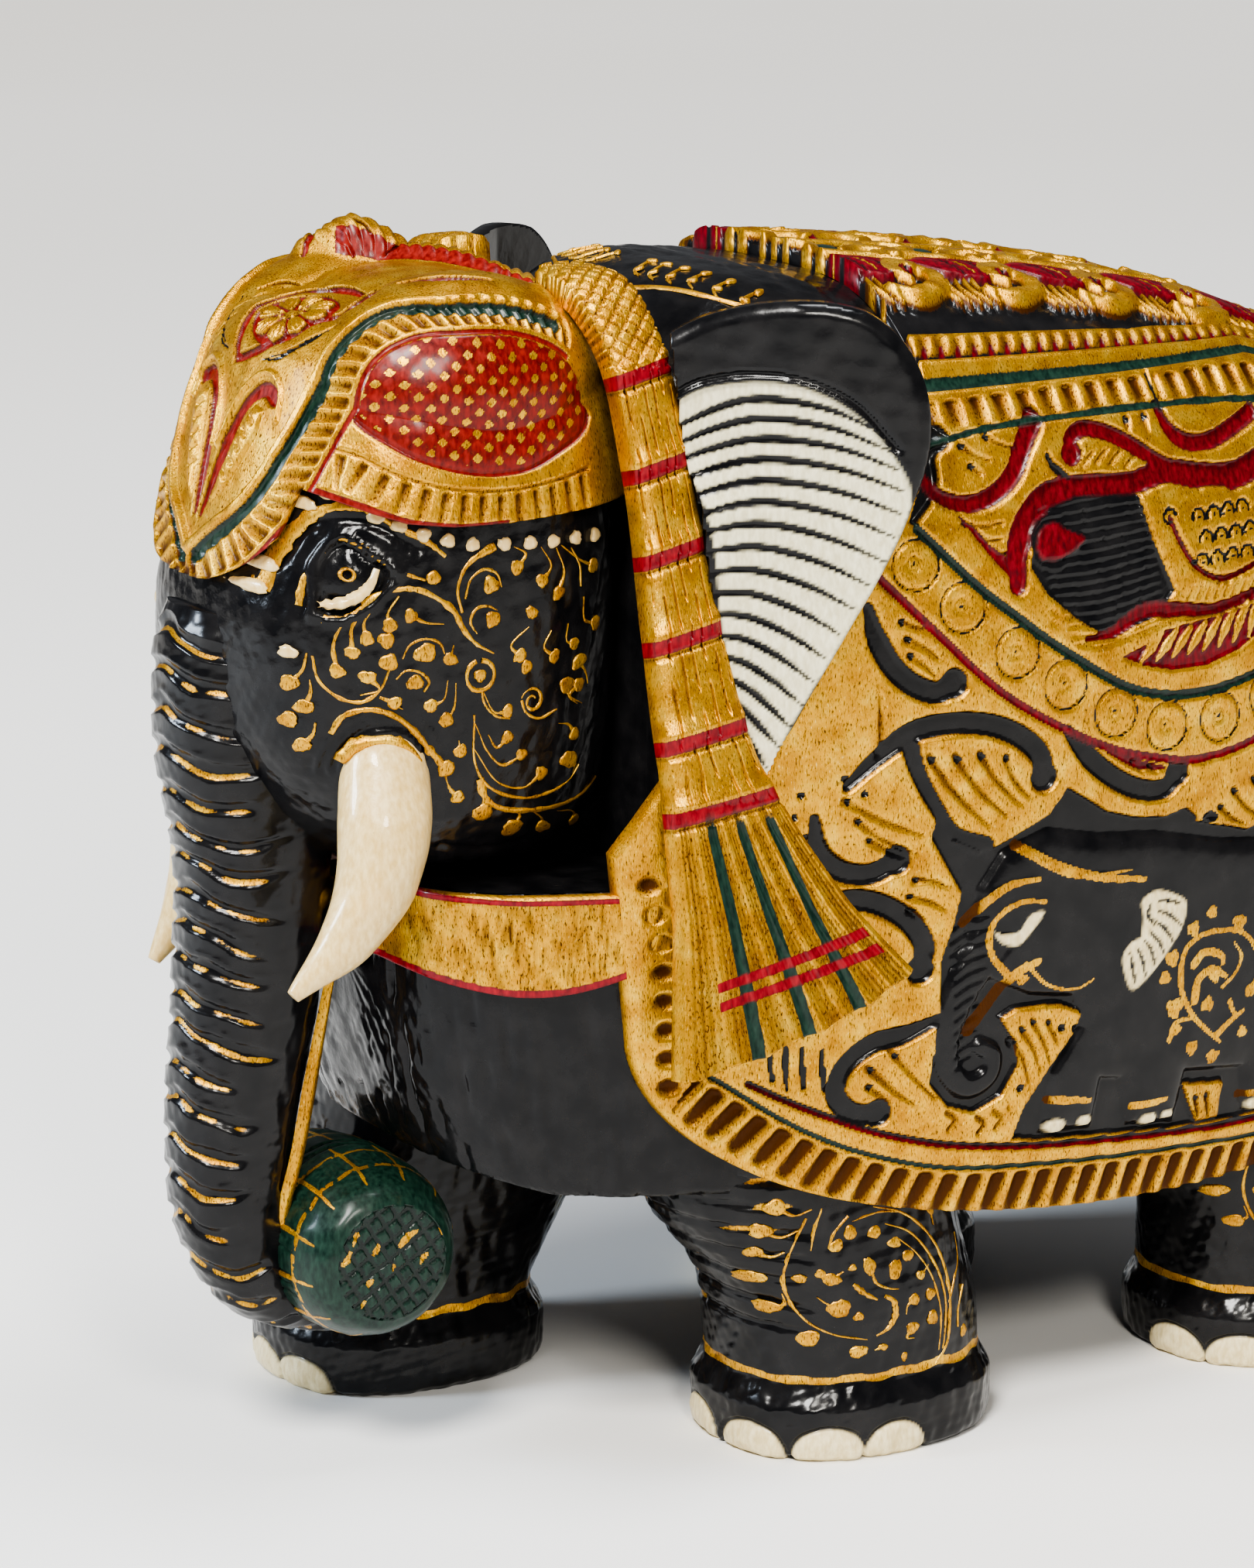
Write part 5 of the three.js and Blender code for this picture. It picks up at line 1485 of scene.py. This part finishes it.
def plate_carving(work):
    """The forehead plate: a flower, crimson channels and paisleys inside a raised gold line."""
    work.patch(np.vstack([PLATE_EDGE, (PLATE_EDGE * (-1, 1))[::-1]]), 0.4, "gold", 0.6)
    for side in (1, -1):
        paisley(work, side)
        work.channel([(side * 25, 74), (side * 31, 86), (side * 34, 99)], (0.5, 2.0, 0.7), 1.6, "red")
        for k in range(4):
            start = (side * (22 + 2 * k), 84 + 6 * k)
            work.gouge([start, (start[0] - 5 * side, start[1] + 2)], 0.8, 0.8)
    work.patch(ring((5.5, 50.5), 12.6), 1.5, "red", 0.8)
    work.channel([(16, 69), (5, 68), (-6, 62.6), (-9.6, 52), (-7.6, 41), (-3, 32.4)],
        (0.8, 1.7, 1.9, 1.9, 1.8, 1.0), 1.8, "red")
    work.channel([(-3, 32), (4, 35.6), (12, 43), (19, 54), (22, 62), (20.6, 68)],
        (1.0, 1.7, 1.8, 1.9, 2.4, 3.0), 1.9, "red")
    for k in range(6):
        work.gouge([(-13 - 1.4 * k, 66 - 7 * k), (-18 - k, 62 - 7 * k), (-22, 56 - 6 * k)], (0.3, 0.9, 0.3),
            0.8)
    flower(work, 5.5, 50.5, 11.6)
    for offset, half, depth, paint in ((3.4, 1.9, 1.3, "green"), (0.8, 1.15, -0.9, "gold")):
        drop = -0.55 * offset * (PLATE_EDGE[:, 1] < 8)
        for side in (1, -1):
            line = PLATE_EDGE + np.column_stack([np.full(len(PLATE_EDGE), offset), drop])
            work.channel(line * (side, 1), half, depth, paint)


def rim_carving(work):
    """Between the raised line and the plate's outer rim: scooped pockets, and a red line."""
    for flipped in (1, -1):
        rim = PLATE_RIM * (flipped, 1)
        work.pockets(rim if flipped > 0 else rim[::-1], 1.4, 8.6, 5.2, 1.25, None, 0.5 * flipped, 0.84)
        work.channel(rim, 0.7, 0.6, "red")


def dome_carving(work):
    """A cross-checked almond in a plain gold band over a fluted fringe."""
    work.channel(ALMOND, 1.0, 0.9, "red")
    inside = work.inside(ALMOND)
    spots, gap, _, _ = work.near(ALMOND, 30)
    swell = np.zeros(len(work.u))
    swell[spots] = 1 - np.exp(-np.abs(gap) / 3)
    work.height[inside] = 0.9 * swell[inside] - 0.5
    wobble = 0.5 * lumps(work.u, work.v, 0, 26, 17)
    first = ((0.74 * work.u + 0.67 * work.v + wobble) / 3.7) % 1 < 0.6
    second = ((-0.62 * work.u + 0.78 * work.v + wobble) / 3.7) % 1 < 0.6
    share = np.where(first & second, 1.0, np.where(first | second, 0.7, 0.0)) * inside
    work.cover("red", slice(None), share)
    work.pockets(FLUTE_TOP[::-1], 0.2, 8.4, 4.4, 1.25, None, -0.05, 0.56)
    work.channel(FLUTE_TOP, 0.4, 0.7, None)
    foot = np.array(HEADDRESS_EDGE)[4:-1]
    work.channel(smooth(foot, 60) + (0, 0.4), (1.1, 1.3, 0.8, 0.4, 0.4), 0.3, "red")


CREST = ((-28, -114), (-22, -105), (-12, -96), (0, -88), (13, -81), (27, -76))


def crest_carving(top, high):
    """A fluted ridge from a lump on the far dome back to the left tassel, with a red stripe."""
    line = curve(*CREST)
    spots, gap, along, run = top.near(line, 11)
    share = along / run
    tall = np.interp(share, (0, 0.12, 0.3, 0.7, 1), (4, 7.5, 4.6, 3.6, 2))
    wide = np.interp(share, (0, 0.12, 0.3, 1), (7, 9.5, 6, 5.5))
    across = gap / wide
    rise = fade(1.25 * (1 - np.abs(across))) * high[spots]
    flute = np.abs((((along + 0.8 * gap) / 3.4) % 1) - 0.5) * 2
    top.height[spots] = rise * (tall - 0.8 * (1 - flute) ** 2)
    stripe = fade((0.24 - np.abs(across + 0.62)) / 0.12 + 0.5) * (share > 0.08) * high[spots]
    top.cover("red", spots, stripe)


def headdress():
    """The headdress in one sheet: plate and rim carved in front, domes at the sides, crest on top."""
    points = crown_grid(230, 760)
    flat = points.reshape(-1, 3)
    away = flat - CROWN
    reach = np.linalg.norm(away, axis=1)
    sideways = reach * np.arcsin(np.clip(away[:, 0] / reach, -1, 1))
    upward = PLATE_RADIUS * (math.pi / 2 - np.arctan2(-away[:, 1], away[:, 2]))
    plate, sides = Carving(sideways, upward, "gold"), Carving(flat[:, 1], flat[:, 2], "gold")
    dome_carving(sides)
    plate_carving(plate)
    rim_carving(plate)
    rim = np.interp(upward, PLATE_RIM[:, 1], PLATE_RIM[:, 0])
    share = fade((rim + 0.9 - np.abs(sideways)) / 0.8 + 0.5)
    height = plate.height * share + sides.height * (1 - share)
    marks = {key: plate.paint[key] * share + sides.paint[key] * (1 - share) for key in PAINTS}
    crest = Carving(flat[:, 0], flat[:, 1], None)
    crest_carving(crest, fade((flat[:, 2] - 258) / 8))
    marks["red"] = np.maximum(marks["red"], crest.paint["red"])
    marks["gold"] = marks["gold"] * (1 - crest.paint["red"])
    hollow = height.copy()
    height += crest.height + 0.1 * lumps(*flat.T, 7, 31)
    out = normals(points).reshape(-1, 3)
    face = flat + out * height[:, None]
    inner = CROWN + away * (1 - HEADDRESS_THICKNESS / reach)[:, None]
    sheet, faces, ids = walled(face, grid_faces(*points.shape[:2], wrap=True), inner)
    lid = [list(range(points.shape[1]))]
    marks = wall_marks(marks, hollow, ids)
    piece = make("headdress_carving", sheet, faces + lid, HEADDRESS_PAINT, marks,
        flip=True)
    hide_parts("headdress")


# ---- Tassels ----

TASSEL_LINE = ((24, -77, 284), (40, -76, 282), (52, -73, 268), (59, -70, 240), (67.5, -68, 203),
    (74, -65, 175), (81.5, -55, 140), (88, -41, 105))
TASSEL_HALF = (7, 8, 7.4, 7.3, 9, 11.5, 22, 40)
TASSEL_COLUMNS, TASSEL_ROWS = 120, 430
RED_BANDS = (262, 241, 222, 203, 181, 165)


def tassel_carving(work, height_at, half_at):
    """Stacked bundles tied with red bands, over a pleated skirt with green stripes."""
    across, down = work.u, work.v
    z, half = height_at(down), half_at(down)
    share = across / half
    bundle = np.searchsorted(-np.array(RED_BANDS), -z)
    upper = z > 166
    for band in RED_BANDS:
        tilt = z - band - 1.6 * share
        work.cover("red", slice(None), fade((1.7 - np.abs(tilt)) / 0.5 + 0.5) * (np.abs(share) < 1.1))
        work.height += 0.9 * np.where(upper, np.clip(1 - np.abs(tilt - 2.6) / 5, 0, 1) ** 2, 0)
        work.height -= 0.8 * np.clip(1 - np.abs(tilt + 2.2) / 0.9, 0, 1)
    lines = 3.2 * share + 0.16 * bundle + 0.1 * lumps(down, across, 0, 12, 5)
    grooves = np.clip(1 - np.abs((lines % 1) - 0.5) / 0.13, 0, 1) * (np.abs(share) < 0.93)
    short = fade((np.sin(down * 0.31 + 2.1 * np.floor(lines)) + 0.9) / 0.5)
    work.height -= np.where(upper & (z < 262), 0.9 * grooves * short, 0)
    cuts = lambda along: np.abs((along / 4.4) % 1 - 0.5) < 0.13
    hatch = cuts(across + down) | cuts(across - down)
    work.height -= np.where((z >= 263) & hatch, 0.7, 0)
    skirt = fade((166 - z) / 8)
    pleat = 8.5 * share + 0.5 * np.sin(3 * share)
    fine = 1 - np.abs((2.2 * pleat) % 1 - 0.5) * 2
    work.height -= skirt * (0.55 * np.abs(np.sin(math.pi * pleat / 2.1)) + 0.35 * fine**2)
    open_ = np.clip((166 - z) / 60, 0, 1)
    for top, foot in ((-0.42, -0.5), (0.08, -0.12), (0.62, 0.3)):
        middle = top + (foot - top) * open_
        stripe = np.abs(share - middle) * half / (1.0 + 0.5 * open_)
        work.cover("green", slice(None), fade((1.25 - stripe) / 0.4 + 0.5) * skirt)
        work.height -= skirt * 0.6 * np.clip(1.2 - stripe, 0, 1)
    for level in (124.4, 128.6):
        tilt = z - level - 4.6 * share
        work.cover("red", slice(None),
            fade((1.15 - np.abs(tilt)) / 0.4 + 0.5) * (share > -0.72) * (share < 0.9))


def tassel_surface(rows=520):
    """Along the tassel: length run, middle line, half width and outward direction."""
    line, half = smooth(TASSEL_LINE, rows), smooth([(w, 0) for w in TASSEL_HALF], rows)[:, 0]
    run = np.concatenate([[0], np.cumsum(np.linalg.norm(np.diff(line, axis=0), axis=1))])
    way = np.gradient(line, axis=0)
    out = np.column_stack([-way[:, 2], 0 * run, way[:, 0]])
    out /= np.linalg.norm(out, axis=1)[:, None]
    return run, line, half, out


def tassel():
    """The side tassels: a carved sheet that follows the line from the crown down over the flank."""
    run, line, half, out = tassel_surface()
    share = np.linspace(-1, 1, TASSEL_COLUMNS)
    hem = run[-1] - 7.5 * (share + 1) ** 1.3 - 0.9 * np.abs(np.sin(7 * share))
    down = np.linspace(0, 1, TASSEL_ROWS)[:, None] * np.minimum(hem, run[-1] - 0.2)
    width = np.interp(down, run, half)
    work = Carving(width * share, down, "gold")
    tassel_carving(work, lambda d: np.interp(d, run, line[:, 2]), lambda d: np.interp(d, run, half))
    at = lambda values: np.interp(work.v, run, values)
    base = np.column_stack([at(line[:, 0]), at(line[:, 1]) + work.u, at(line[:, 2])])
    away = np.column_stack([at(out[:, 0]), 0 * work.u, at(out[:, 2])])
    rounded = 1.6 * np.abs(np.tile(share, TASSEL_ROWS)) ** 5
    face, back = base + away * (work.height - rounded - 0.2)[:, None], base - away * 7.6
    sheet, faces, ids = walled(face, grid_faces(TASSEL_ROWS, TASSEL_COLUMNS), back)
    marks = wall_marks(work.paint, work.height, ids)
    for label, side in SIDES.items():
        piece = make(f"tassel_carving_{label}", sheet * (side, 1, 1), faces, GOLD_PAINT, marks,
            flip=side > 0)
        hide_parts(f"tassel_{label}")


# ---- Ears ----

# How far the ears stand out for each millimetre back, and how thick they are.
EAR_SLANT, EAR_THICKNESS = 0.55, 6.0


def tassel_rear(z):
    """The tassel's back edge, which the ear comes out from under."""
    line, half = np.array(TASSEL_LINE)[::-1], np.array(TASSEL_HALF)[::-1]
    return np.interp(z, line[:, 2], line[:, 1] + half) - 2.5


def ear_carving(work):
    """A black rolled rim round a cream face with fine black stripes fanned over it."""
    closed = np.vstack([EAR_EDGE, EAR_EDGE[:1]])
    spots, gap, _, _ = work.near(closed, 5)
    work.height[spots] -= 1.8 * (1 - np.clip(np.abs(gap) / 3.2, 0, 1)) ** 2
    face = curve((-80, 240), (-72, 249), (-65, 256.6), (-55, 260), (-45, 259.4), (-35, 254), (-27, 244.6),
        (-22.6, 234), (-28, 217), (-37, 199), (-47.6, 180), (-54.6, 164), (-68, 164), (-84, 190), (-80, 240))
    work.patch(face, 1.3, "cream", 0.7)
    work.gouge([(-78, 246), (-72, 252), (-65, 258.8), (-55, 262), (-45, 261.2), (-34, 255.6), (-25.4, 245)],
        0.9, 1.2)
    inner = smooth([(-66, 250), (-66, 238), (-65, 226), (-63.6, 212), (-62, 198), (-60.4, 184)], 16)
    outer = smooth([(-29, 249), (-24.6, 238), (-26, 225), (-32, 211), (-39.6, 197), (-46, 184), (-52, 172)],
        16)
    for k in range(16):
        lift = 6.5 - 0.36 * k
        rise = inner[k] * 0.66 + outer[k] * 0.34 + (0, lift)
        fall = inner[k] * 0.3 + outer[k] * 0.7 + (0, 0.8 * lift)
        work.gouge([inner[k], rise, fall, outer[k]], (0.7, 1.15, 1.2, 0.9, 0.3), 0.3, "black")
    work.gouge([(-64.4, 236), (-62.6, 222), (-61.4, 206), (-59, 190), (-56, 178)], (0.6, 1.5, 1.3, 0.8), 0.3,
        "black")


def ear():
    """The ears: thin boards that come out from under the tassels and slant away from the neck."""
    points, faces = cut_sheet(EAR_EDGE, 0.6)
    behind = points[:, 0] > tassel_rear(points[:, 1])
    faces = (np.cumsum(behind) - 1)[faces[behind[faces].all(1)]]
    points = points[behind]
    work = Carving(points[:, 0], points[:, 1], "black")
    ear_carving(work)
    work.height += 0.08 * lumps(work.u, work.v, 0, 6, 41)
    normal = np.array([1, -EAR_SLANT, 0]) / math.hypot(1, EAR_SLANT)
    tuck = 5 * np.clip((work.v - 231) / 12, 0, 1) * np.clip((-46 - work.u) / 16, 0, 1)
    stand = 2 * np.clip((206 - work.v) / 30, 0, 1)
    base = np.column_stack([57 + EAR_SLANT * (work.u + 78) - tuck + stand, work.u, work.v])
    face, back = base + normal * work.height[:, None], base - normal * EAR_THICKNESS
    edge, count = edges_of(faces), len(points)
    wall = [[b, a, a + count, b + count] for a, b in edge]
    everything = faces.tolist() + (faces[:, ::-1] + count).tolist() + wall
    nothing = np.zeros(count)
    marks = {key: np.concatenate([values, nothing]) for key, values in work.paint.items()}
    for label, side in SIDES.items():
        sheet = np.vstack([face, back]) * (side, 1, 1)
        piece = make(f"ear_carving_{label}", sheet, everything, EAR_PAINT, marks, flip=side < 0)
        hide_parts(f"ear_{label}")


# ---- Collar, tusks and log ----

def collar():
    """The throat collar: rubbed gold between two red lines."""
    foot = curve((-129, 127.5), (-121, 123.6), (-108, 120.6), (-96, 120.6), (-84, 123.6), (-70, 130))
    points, faces = cut_sheet(np.vstack([[(-70, 143.6), (-129, 143.6)], foot]), 0.55)
    work = Carving(points[:, 0], points[:, 1], "gold")
    strokes = np.abs(lumps(work.u * 2.6, work.v * 0.4, 0, 4, 51)) + np.abs(lumps(work.u * 5, work.v * 0.5, 3,
        4, 52))
    work.height -= 0.4 * strokes
    work.channel([(-130, 143), (-100, 142.6), (-70, 142.8)], 0.8, 0.5, "red")
    work.channel(foot + (0, 0.7), 1.0, 0.5, "red")
    face = lambda y, z, height: torso_side(y, z, 4.8 + height)
    for label, side in SIDES.items():
        piece = carved(f"collar_carving_{label}", work, faces, face, -4.6, GOLD_PAINT, side)
        if label == "left":
            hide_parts("collar")


TUSK = ((33, -123, 194, 7, 7), (36, -127.5, 186, 8.4, 8.4), (41.5, -132.5, 176, 10.2, 10.2),
    (46, -135.5, 164.5, 10.8, 10.8), (49, -139.5, 151.5, 9.4, 9.4), (50, -148, 139, 6.2, 6.2),
    (50, -161, 128, 1.6, 1.6))


# The right tusk's tip is this far back and down from the left one's.
RIGHT_TUSK_DROP = (12, 18)


def tusks():
    for label, side in SIDES.items():
        stations = []
        for index, (x, y, z, wide, high) in enumerate(TUSK):
            share = max(0, index - 2) / 4 if side < 0 else 0
            back, down = RIGHT_TUSK_DROP
            stations.append((side * x, y + back * share, z - down * share, wide, high))
        points, _ = tube(stations, 2, 90, 170)
        points = points + normals(points) * (0.18 * lumps(points[..., 0], points[..., 1], points[..., 2], 9,
            61))[..., None]
        closed_form(f"tusk_body_{label}", points, IVORY, None, f"tusk_{label}")
        socket = Strokes(lambda u, v, lift: head_side(u, v, lift + 0.6), 0.9)
        socket.line([(-144, 178), (-141.4, 181.6), (-136.6, 183), (-131, 181.4), (-127.4, 177.6)], 1.7,
            (0.5, 1, 1, 0.9, 0.4))
        socket.build(f"tusk_socket_{label}", side, STROKES)


LOG_Y, LOG_Z, LOG_COLUMNS = -126, 53, 240
LOG = ((-25, 15), (-23, 18), (-10, 21), (6, 22), (20, 20.5), (27, 17), (29, 14))


def log_marks(work):
    """Two cut rings round the middle, and gold lines brushed round it and along it."""
    for x in (0.6, 3.8):
        work.channel(np.array([(-80.0, x), (80.0, x)]), 0.5, 0.9, "black")
    ragged = lumps(work.u * 3, work.v * 3, 0, 5, 73)
    for x in (-16.5, -7.5, 9.5, 18.5):
        band = fade((0.85 - np.abs(work.v - x - 0.5 * lumps(work.u, 0, 0, 9, 74))) / 0.5)
        work.cover("gold", slice(None), band * fade((ragged + 0.8) / 0.9))
    for k in range(12):
        u = -66 + 11 * k
        work.stroke([(u, -23), (u + 0.8, -8), (u + 0.3, -1)], (0.3, 0.55, 0.3), "gold")
        work.stroke([(u + 4, 5), (u + 3.4, 14), (u + 4.4, 24)], (0.3, 0.55, 0.3), "gold")
        for step in (-2.6, 0, 2.6):
            work.gouge([(u + 5 + step, 11), (u + 5.6 + step, 17)], 0.4, 0.6)


def trunk_log():
    """The green log across the trunk's tip: a turned barrel with hatched ends."""
    profile = smooth([(r, x) for x, r in LOG], 200)
    back = [(radius, -25.2) for radius in np.linspace(1, 14.4, 30)]
    front = [(radius, 29.1) for radius in np.linspace(13.6, 1, 30)]
    profile = np.vstack([back, profile, front])
    angle = np.linspace(0, 2 * math.pi, LOG_COLUMNS, endpoint=False)
    radius = profile[:, :1]
    y, z = LOG_Y + radius * np.cos(angle), LOG_Z + radius * np.sin(angle)
    points = np.stack([np.repeat(profile[:, 1:], LOG_COLUMNS, 1), y, z], -1)
    work = Carving(np.broadcast_to((angle - math.pi) * 21, points.shape[:2]), points[..., 0], "green")
    barrel = (np.arange(len(profile)) > 32) & (np.arange(len(profile)) < len(profile) - 32)
    log_marks(work)
    height = work.height.reshape(points.shape[:2]) * barrel[:, None]
    ends = ~barrel[:, None] * np.ones(LOG_COLUMNS)
    cuts = lambda along, pitch: np.abs((along / pitch) % 1 - 0.5) < 0.16
    hatch = cuts(y + 0.6 * z, 4.2) | cuts(z - 0.6 * y, 4.4)
    fleck = lumps(0 * y, y, z, 5, 71)
    marks = {key: values.reshape(points.shape[:2]) * barrel[:, None] for key, values in work.paint.items()}
    marks["green"] = np.where(ends > 0, np.where(hatch, 0.35, 1.0), marks["green"])
    marks["gold"] = np.where((ends > 0) & (fleck > 0.75), 0.9, marks["gold"])
    rise = height - 0.4 * ends * hatch + 0.12 * lumps(points[..., 0], y, z, 6, 72)
    points = points + normals(points) * rise[..., None]
    closed_form("log_body", points, GREEN_PAINT, marks, "trunk_log")


def neck_marks():
    """Gold leaves and a line brushed over the black neck, behind the tassels."""
    marks = Strokes(lambda u, v, lift: torso_top(u, v, lift + 0.35), 0.25)
    for side in (1, -1):
        marks.line([(side * 8, -58), (side * 24, -52), (side * 38, -44), (side * 47, -30)], 0.5)
        for k in range(7):
            u, v = 8 + 6 * k, -44 + 0.44 * k * k
            marks.blob(side * u, v, 1.5, 0.8, 0.5 * side + 0.3 * k)
            marks.blob(side * (u + 2.2), v - 5, 1.3, 0.7, 1.1 * side)
            marks.line([(side * u, v - 1), (side * (u + 2.4), v - 6), (side * (u + 6), v - 7)], 0.35)
    marks.build("neck_leaves", 1, STROKES)


def trunk_strip():
    """A gold strip brushed down the back edge of the trunk."""
    path = smooth([(14.2, -133.4, 120), (13.8, -138, 98), (13.2, -142, 78), (11.6, -145.4, 62),
        (9, -143.4, 52)], 120)
    wide = np.interp(np.linspace(0, 1, 120), (0, 0.3, 0.7, 1), (0.8, 1.9, 1.7, 1.2))[:, None]
    away, across = np.array([0.9, 0.43, 0.0]), np.array([-0.43, 0.9, 0.0])
    steps, lift = np.array([-1, -0.7, 0, 0.7, 1]), np.array([-1.2, 0.6, 0.9, 0.6, -1.2])
    points = path[:, None] + across * (wide * steps)[..., None] + away * lift[:, None]
    marks = {"thin": 0.2 + 0.2 * rng.random((120, 5)).ravel()}
    make("trunk_strip", points.reshape(-1, 3), grid_faces(120, 5), STROKES, marks)


def dowels():
    """The dowels keep the plain form that they have, in bare wood."""
    for name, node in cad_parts.items():
        if "dowel" in name:
            node.data.materials.clear()
            node.data.materials.append(BARE_WOOD)


torso_body()
head_body()
trunk_body()
for leg, (*stance, nails) in STRIDE.items():
    leg_body(leg, stance, nails)
tail_body()
face_paint()
leg_paint()
saddle_cloth()
saddle_top()
headdress()
tassel()
ear()
collar()
tusks()
trunk_log()
neck_marks()
trunk_strip()
dowels()


# ---- Stage, light and camera ----

def stage():
    bpy.ops.mesh.primitive_grid_add(x_subdivisions=40, y_subdivisions=40, size=14)
    floor = bpy.context.object
    floor.name = "floor"
    material, n, target = shader("pale_floor")
    n.join(n.ramp(n.noise(0.7, 2), (0.3, (0.80, 0.785, 0.755)), (0.7, (0.86, 0.855, 0.845))),
        target.inputs["Base Color"])
    target.inputs["Roughness"].default_value = 0.9
    floor.data.materials.append(material)


def lamp(name, kind, place, size, power, colour):
    """A sun or a round soft light, turned towards the figure."""
    light = bpy.data.lights.new(name, kind)
    light.energy, light.color = power, colour
    if kind == "SUN":
        light.angle = size
    else:
        light.shape, light.size = "DISK", size
    lamp_object = bpy.data.objects.new(name, light)
    bpy.context.scene.collection.objects.link(lamp_object)
    lamp_object.location = place
    aim = Vector((0, -0.02, 0.15)) - Vector(place)
    lamp_object.rotation_euler = aim.to_track_quat("-Z", "Y").to_euler()


def lights():
    world = bpy.data.worlds.new("studio")
    bpy.context.scene.world = world
    world.use_nodes = True
    background = world.node_tree.nodes["Background"]
    background.inputs["Color"].default_value = (0.92, 0.95, 1.0, 1)
    background.inputs["Strength"].default_value = 0.16
    lamp("daylight", "SUN", (1.1, -1.3, 2.2), math.radians(16), 4.4, (1.0, 0.975, 0.93))
    lamp("window", "AREA", (-0.55, -1.4, 0.8), 0.4, 22, (0.74, 0.86, 1.0))
    lamp("front", "AREA", (1.6, -0.5, 1.2), 0.4, 20, (1.0, 0.96, 0.88))
    lamp("above", "AREA", (0.25, 0.15, 1.6), 0.5, 14, (0.95, 0.97, 1.0))


def camera():
    """Seen from the left front, a little from above."""
    data = bpy.data.cameras.new("camera")
    data.sensor_fit, data.sensor_height, data.lens = "VERTICAL", 36, 119.87
    eye = bpy.data.objects.new("camera", data)
    bpy.context.scene.collection.objects.link(eye)
    eye.location = (1.056, -0.6558, 0.4559)
    eye.rotation_euler = (math.radians(76), 0, math.radians(60))
    data.clip_start = 0.05
    bpy.context.scene.camera = eye


bpy.context.scene.view_settings.look = "AgX - Medium High Contrast"
stage()
lights()
camera()
